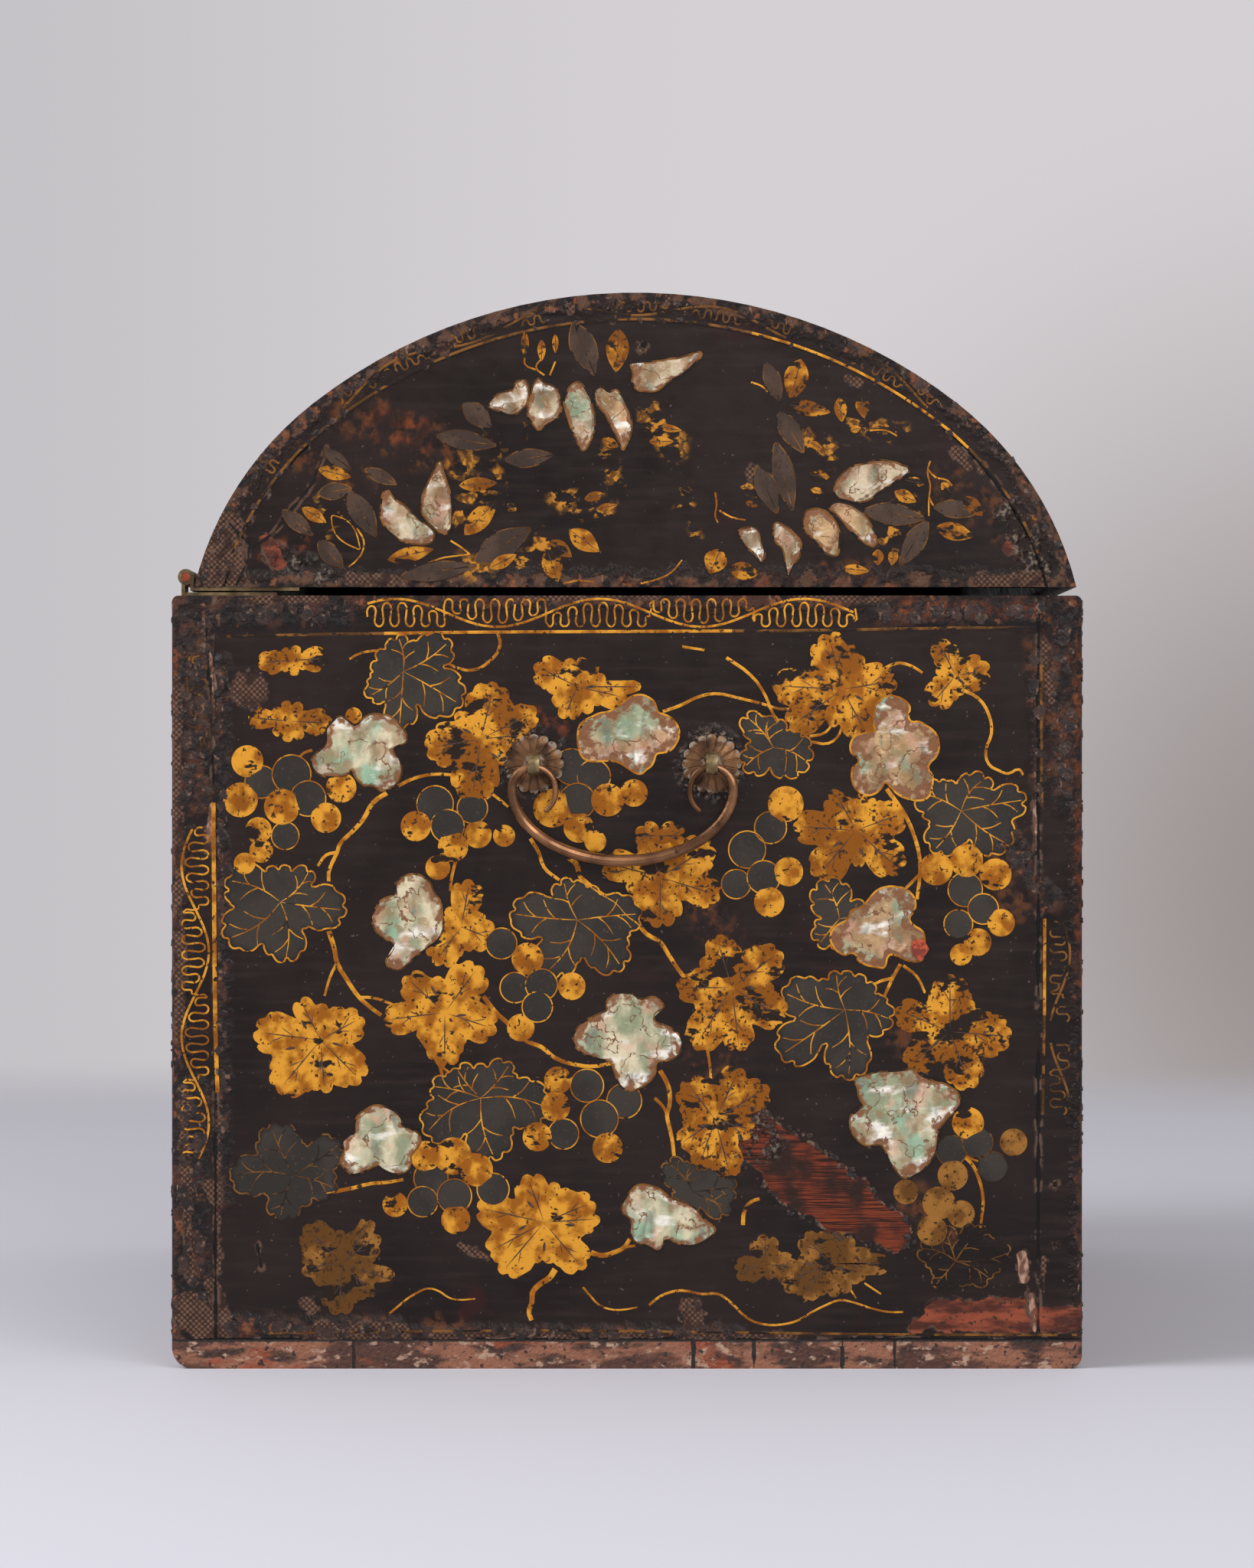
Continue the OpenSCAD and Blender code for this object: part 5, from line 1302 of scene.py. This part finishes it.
left_lid = Decoration("left_lid", "lid", lid_end(-1), faded=True, seed=2)
LID_SHELLS = [
    ("shell", [
        (50.5, 348.9), (48.5, 352), (46, 353.8), (43, 354.3), (41, 355), (40.2, 357.5), (38.5, 358.4),
        (37, 358.5), (36, 356.5), (35.8, 353), (36.8, 349), (38.5, 347.3), (40.5, 346), (43, 345.7),
        (46.5, 347), (49, 347.8)]),
    ("shell", [
        (32, 358.8), (30.5, 357.4), (28, 356.6), (26.5, 355.8), (25, 354.5), (24, 352.5), (24.3, 350.3),
        (23.8, 348.3), (24.2, 346), (26, 344), (29, 342), (31.5, 340.3), (32.5, 340.3), (34.5, 343),
        (36, 345), (36, 347.8), (35.3, 351.5), (34.3, 355), (33.3, 357.8)]),
    ("shell", [
        (18.3, 357.5), (16.5, 356.8), (14.5, 354), (12.8, 350), (12, 346.5), (11.6, 342.5),
        (12.3, 338.5), (14, 335), (16, 332.5), (18, 336), (20, 340.5), (22, 346), (22.8, 350.5),
        (22, 353), (20.5, 356)]),
    ("old_shell", [
        (11.5, 354.5), (9.5, 355.8), (7.5, 354.5), (6, 354), (4, 354.6), (2.2, 353), (0.5, 350),
        (-0.8, 347.5), (-1.5, 344.5), (-1.8, 341), (-1, 337.5), (0.5, 334.5), (1.5, 333), (2.8, 335.5),
        (4.5, 339), (6.5, 343), (8.5, 346.5), (11, 349.5), (11.8, 352)]),
    ("shell", [
        (-1.5, 364), (-2.2, 361), (-2, 358), (-3, 355.3), (-6, 354.2), (-9.5, 354.2), (-12.5, 355.5),
        (-15, 357.8), (-19, 359.8), (-22, 362), (-25, 365), (-27.3, 368.2), (-24, 367.8), (-20, 366.6),
        (-16, 366), (-12, 365.3), (-8, 365), (-4, 364.8)]),
    ("shell", [
        (-40.7, 303.7), (-44.8, 304.9), (-46.9, 304.6), (-48.2, 302.8), (-48.9, 300), (-49.4, 297.8),
        (-50, 295.5), (-49.4, 292.8), (-48.6, 292), (-47.1, 294.6), (-45.3, 296), (-43.5, 297.4),
        (-41.9, 299.6), (-40.7, 301.9)]),
    ("shell", [
        (-53.2, 305.5), (-54.8, 306.5), (-57.1, 305.5), (-58.5, 304.6), (-60.3, 302.8), (-62.5, 300.5),
        (-63.2, 297.8), (-62.8, 295), (-61.6, 292.8), (-59.8, 290), (-58.4, 287.4), (-57.8, 290),
        (-57.3, 293.3), (-57, 295.5), (-56, 297.8), (-53.5, 300), (-53, 302.8)]),
    ("old_shell", [
        (-65.3, 311), (-68, 311.5), (-70.7, 311.2), (-73, 310.1), (-74.8, 307.8), (-76.4, 305.5),
        (-77.1, 302.4), (-77.1, 299.2), (-76.4, 295.1), (-74.4, 294.6), (-72.5, 295.1), (-70.7, 296.9),
        (-68.9, 299.2), (-66.6, 301.5), (-64.6, 303.7), (-63.7, 306), (-64.1, 308.7)]),
    ("old_shell", [
        (-73.5, 311.5), (-74.4, 313.4), (-76.6, 314), (-79.4, 313.5), (-81.6, 312.8), (-83.9, 311.5),
        (-86.2, 309.2), (-88.5, 306), (-89.8, 302.8), (-90.7, 299.6), (-90, 298.3), (-88.5, 297.8),
        (-85.7, 299.6), (-83, 301.9), (-80.3, 304.6), (-77.5, 307.8), (-75.3, 310)]),
    ("shell", [
        (-75.3, 320), (-76.4, 321.9), (-78, 324.2), (-80.3, 326), (-82.5, 327.1), (-85.3, 327.6),
        (-87.5, 328.3), (-90.3, 329.1), (-93.5, 329.1), (-96.6, 328.5), (-99.8, 327.4), (-102.4, 326),
        (-100.7, 323.7), (-98.5, 322.4), (-95.7, 320.5), (-92.5, 318.3), (-89.4, 316), (-86.2, 314.4),
        (-83, 313.9), (-79.8, 314.4), (-77.1, 315.5), (-75.3, 316.9)]),
    ("shell", [
        (87.6, 318.7), (86, 317.6), (84.5, 315.3), (81.8, 313.7), (79.7, 312), (77.2, 309.5),
        (75.1, 307.4), (72.2, 305.3), (70.3, 303.3), (69.9, 301), (71.3, 299.1), (74.7, 298.7),
        (78.4, 298.9), (81.8, 300.1), (84.7, 302), (87, 304.1), (88.8, 307), (89.7, 310.3), (89, 314.1),
        (88.6, 317)]),
    ("shell", [
        (68, 328.5), (67, 326.2), (65.9, 322.8), (64.9, 319.5), (63.8, 316.2), (63.3, 312),
        (63.5, 307.8), (63.8, 304.5), (65.9, 302.2), (68, 303.2), (70.5, 304.9), (72.6, 307.4),
        (74.3, 310.3), (74.7, 313.7), (73.8, 317.4), (72.2, 321.2), (70, 325.3)]),
]
LID_DARK = [
    (19.5, 379, 11.5, 360, 10), (44.5, 329, 26.5, 331, 7), (69, 338, 47.5, 334.5, 7.5),
    (59.5, 350, 49, 341, 8), (55, 292.5, 35, 304.5, 11), (82, 287, 54.5, 291, 7.5),
    (112, 317, 100, 319, 6.5), (101, 318, 91, 301.5, 9), (112, 300, 103, 290, 7),
    (125, 311, 114, 302, 6), (110, 333, 100, 326, 5.5), (95, 326, 83.5, 320.5, 5),
    (-54, 335.5, -60, 311, 8.5), (-47, 327, -54.5, 310, 8.5), (-55, 347, -64, 332, 8),
    (-50.5, 365, -55.5, 350, 6.5), (-86, 311, -108, 308, 8.5), (-109, 307, -99, 291, 8),
    (-111, 312, -130, 311, 7),
]
LID_GOLD = [
    (37, 376, 37, 366, 3), (31, 373, 31, 365, 3.2), (26, 375, 26, 368, 2.5), (3, 377, 4, 361, 9),
    (61, 320, 47, 321, 5.5), (112, 326, 100, 323, 5.5), (118, 312, 109, 306.5, 5),
    (44, 313, 40, 311, 3.5), (59, 302, 47, 315, 8), (-63, 366, -59.5, 351, 9.5),
    (-77, 352, -78, 343, 5), (-85, 353, -86, 344.5, 5.5), (-58, 349.5, -74, 346.5, 6),
    (-66, 336, -71, 333, 3), (-66, 324, -73.5, 323, 5), (-66.5, 319, -72, 317, 3),
    (-97, 318, -105, 314, 5), (-101, 322, -108, 320.5, 4), (-112, 305, -126, 301.5, 7),
    (-114, 321, -118, 317, 4), (-122, 316, -129, 309, 6), (29, 297, 25, 285, 8),
    (50, 290, 40, 295, 5), (87, 293, 70, 297, 6), (28, 300, 20, 294, 6), (21, 304, 10, 296, 8),
    (15.5, 315, 8, 317, 4), (11, 311.5, 3.5, 313, 3), (9, 337, 3, 334, 4), (-34, 297, -30, 288, 9),
    (-19.5, 319, -23.5, 317, 3.5), (-41, 319.5, -46, 319, 2), (-43, 314, -47.5, 312.5, 2.5),
    (-78, 290, -88, 289, 4), (-91, 297, -91, 291, 4.5), (-97, 297, -96, 291, 4),
    (-81, 340, -85, 341, 3), (-8, 336, -17, 336, 4), (-11, 341.5, -20, 340, 3),
    (-37, 290, -48, 288, 7),
]
LID_STEMS = [
    [(-110, 329), (-109, 325), (-110, 320), (-109.5, 315), (-109.5, 309)],
    [(-109, 326), (-112, 323), (-116, 322), (-118, 320)], [(-109.5, 316), (-111, 313), (-113, 311.5)],
    [(98, 304.5), (95.5, 300), (96, 296), (98.5, 292.5), (101, 290.5)],
    [(82, 287), (76, 290), (68, 293.5), (62, 294.5), (57.5, 295)], [(64, 300), (60, 297.5), (57, 295)],
    [(-5, 284.5), (-11, 286), (-16, 288.5), (-20, 293)], [(23, 284.5), (18, 285.5), (12, 285)],
    [(-45, 357.5), (-49, 356), (-51, 354)], [(-32, 317.5), (-32.5, 313), (-32, 309), (-33, 306.5)],
    [(-33.5, 311), (-38, 308.5), (-43, 307.5)], [(-88, 340), (-94, 340), (-98, 338)],
    [(30, 360), (33, 363), (31, 366)], [(33, 362), (37, 364), (37, 367)], [(28, 360), (26, 365)],
]
for points in LID_STEMS:
    left_lid.stroke(points, 0.65)
left_lid.pointed("line", (107, 309), (97, 297), 7)
for finish, leaves in (("dark", LID_DARK), ("gold", LID_GOLD)):
    for u0, v0, u1, v1, width in leaves:
        left_lid.pointed(finish, (u0, v0), (u1, v1), width)
for finish, corners in LID_SHELLS:
    middle = tuple(sum(corner[axis] for corner in corners) / len(corners) for axis in (0, 1))
    left_lid.shell(finish, middle, corners, left_lid.chance.uniform(-0.2, 0.8))
rim_lines(left_lid)
for k in range(260):
    s = left_lid.chance.uniform(-205, 205)
    if abs(s) > 110 or k % 3 == 0:
        y, z = arch(s, left_lid.chance.choice((0.9, 1.6, 2.4, 9.0)) + left_lid.chance.uniform(0, 1.4))
        if z > 285.5:
            left_lid.flake(y, z, left_lid.chance.uniform(0.5, 1.6))
f = Finish("brown_lacquer", coat=0.05, specular=0.3)
brown = f.patched(paint(56, 40, 30), paint(78, 58, 44), 0.4, 0.62, 0.012, detail=4.0)
brown = f.patched(brown, paint(46, 31, 24), 0.56, 0.7, 0.0015, detail=4.0, shift=5.0)
lid_finishes = dict(finishes, dark=f.close(brown, 0.45, f.grain(0.002, detail=4.0), 0.0001),
                    shell=nacre("lid_shell", paint(132, 104, 70), paint(214, 196, 164), 0.15, 0.6),
                    gold=gold("lid_gold", 0.58, paint(140, 80, 14), paint(206, 140, 40)))
left_lid.make(lid_finishes)


def spray(d, u, v, turn, keep):
    """A sprig of almond leaves on a short stalk."""
    at = lambda far, a: (u + far * math.cos(turn + a), v + far * math.sin(turn + a))
    if keep(*at(24, math.pi)):
        d.stroke([at(24, math.pi + 0.25), at(15, math.pi), at(3, 0.2)], 1.3)
    kinds = d.chance.choice((["shell", "shell", "gold", "shell", "dark"], ["gold", "dark"],
                             ["dark", "shell", "gold"], ["dark", "gold", "gold", "shell"]))
    for k in range(7):
        a = (k - 3) * 0.56 + d.chance.uniform(-0.12, 0.12)
        far = d.chance.uniform(20, 25)
        if keep(*at(far, a)):
            d.pointed(kinds[k % len(kinds)], at(far, a), at(5, a), d.chance.uniform(6.5, 9.5))


def sprigs(d, u0, u1, v0, v1, pitch, keep):
    """Rows of sprigs with single leaves between them."""
    rows, columns = round((v1 - v0) / pitch), round((u1 - u0) / pitch)
    for row in range(rows):
        for column in range(columns):
            u = u0 + (u1 - u0) * (column + (0.7 if row % 2 else 0.3)) / columns
            u += d.chance.uniform(-6, 6)
            v = v0 + (v1 - v0) * (row + 0.5) / rows + d.chance.uniform(-6, 6)
            if keep(u, v):
                spray(d, u, v, d.chance.uniform(0, 2 * math.pi), keep)
            for _ in range(2):
                su, sv = u + d.chance.uniform(22, 34), v + d.chance.uniform(-22, 22)
                a, size = d.chance.uniform(0, 2 * math.pi), d.chance.uniform(6, 12)
                if keep(su + 7, sv + 7) and keep(su - 7, sv - 7):
                    d.pointed("gold", (su + size * math.cos(a), sv + size * math.sin(a)), (su, sv),
                              size * 0.42, rib=False)


def within_lid_end(u, v):
    """Whether a spray fits on the arched panel at that place."""
    out, up = abs(u + ARCH_FORWARD), v - CROWN_Z
    return v > 290 and math.hypot(out, up) < CROWN_RADIUS - 16 and out < 128 - (v - 290) * 0.3


def within_lid_top(u, v):
    """Whether a spray fits on the top, clear of the hasp's leaf."""
    return abs(u) < 266 and abs(v) < 172 and (v > -140 or abs(u) > 50)


right_lid = Decoration("right_lid", "lid", lid_end(1), faded=True, seed=6)
sprigs(right_lid, -150, 150, 288, 386, 46, within_lid_end)
rim_lines(right_lid)
right_lid.make(lid_finishes)

lid_top = Decoration("lid_top", "lid", lambda u, v, h: (u, *arch(v, -h)), curved=True, half=285,
                     faded=True, seed=9)
sprigs(lid_top, -268, 268, -180, 180, 50, within_lid_top)
for side in (-1, 1):
    along = [(u, side * 188) for u in range(-272, 273, 16) if side > 0 or abs(u) > 40]
    lid_top.stroke([(side * 272, v) for v in range(-188, 189, 8)], 1.5, taper=1.0)
    lid_top.stroke(along, 1.5, taper=1.0)
    border(lid_top, -176, 176, side * 273.5, side * 284, at=upright)
lid_top.make(lid_finishes)


# Metal fittings
# Copper worn to a brown patina, with brassy eyes, dirt round the rosettes and redder
# pins. Iron-brown nails hold the hinge leaves.
def metal(name, dark, bright, size, rough, dirt=0.0):
    """Patinated metal: dark in the hollows of its grain, bright where it's rubbed."""
    f = Finish(name, metallic=0.85)
    tone = f.patched(dark, bright, 0.36, 0.66, size, detail=4.0)
    tone = f.patched(tone, shaded(dark, 0.5), 0.62, 0.76, size * 0.25, detail=4.0, shift=4.0)
    dull = f.spots(0.45, 0.65, size * 0.5, detail=5.0, shift=7.0)
    if dirt:
        flat = f.vector("MULTIPLY", f.where, (0, 1, 1))
        off = f.least(*[f.length(f.vector("SUBTRACT", flat, (0, y / 1000, z / 1000)))
                        for y, z in ROSETTES]) + f.wander(0.003, 0.0012)
        crust = (f.most(f.mask(off, 0.0088, 0.0104), f.mask(off, 0.0042, 0.003))
                 * f.spots(0.42, 0.54, 0.0022, detail=5.0, shift=2.0))
        tone = f.blend(crust * dirt, tone, paint(150, 134, 118))
        dull = f.most(dull, crust)
        f.feed({"Metallic": 0.85 - crust * 0.7})
    return f.close(tone, dull * 0.3 + rough, f.grain(size * 0.4), 0.00015)


ROSETTE_PLACES = [f"{end}_{place}" for end in ("left", "right") for place in ("front", "back")]
METALS = [
    ("bail_copper", (98, 68, 48), (156, 112, 78), 0.016, 0.22, ["left_bail", "right_bail"]),
    ("rosette_copper", (62, 44, 32), (124, 90, 62), 0.008, 0.3,
     [f"{place}_rosette" for place in ROSETTE_PLACES]),
    ("eye_brass", (112, 96, 66), (170, 150, 110), 0.006, 0.3,
     [f"{place}_eye" for place in ROSETTE_PLACES]),
    ("hinge_brass", (84, 70, 52), (146, 126, 92), 0.007, 0.36,
     ["left_box_leaf", "right_box_leaf", "left_lid_leaf", "right_lid_leaf"]),
    ("pin_copper", (136, 62, 44), (180, 94, 66), 0.006, 0.34,
     ["left_hinge_pin", "right_hinge_pin", "hasp_pin"]),
    ("nail_metal", (90, 58, 42), (138, 92, 66), 0.003, 0.4,
     ["box_leaf_nails", "lid_leaf_nails", "hasp_leaf_nails", "escutcheon_nails"]),
    ("hasp_copper", (112, 78, 50), (150, 108, 70), 0.012, 0.28,
     ["hasp_leaf", "hasp", "escutcheon", "staple"]),
]
for name, dark, bright, size, rough, pieces in METALS:
    dirt = 0.9 if name == "rosette_copper" else 0.0
    finish_nodes(metal(name, paint(*dark), paint(*bright), size, rough, dirt), *pieces)
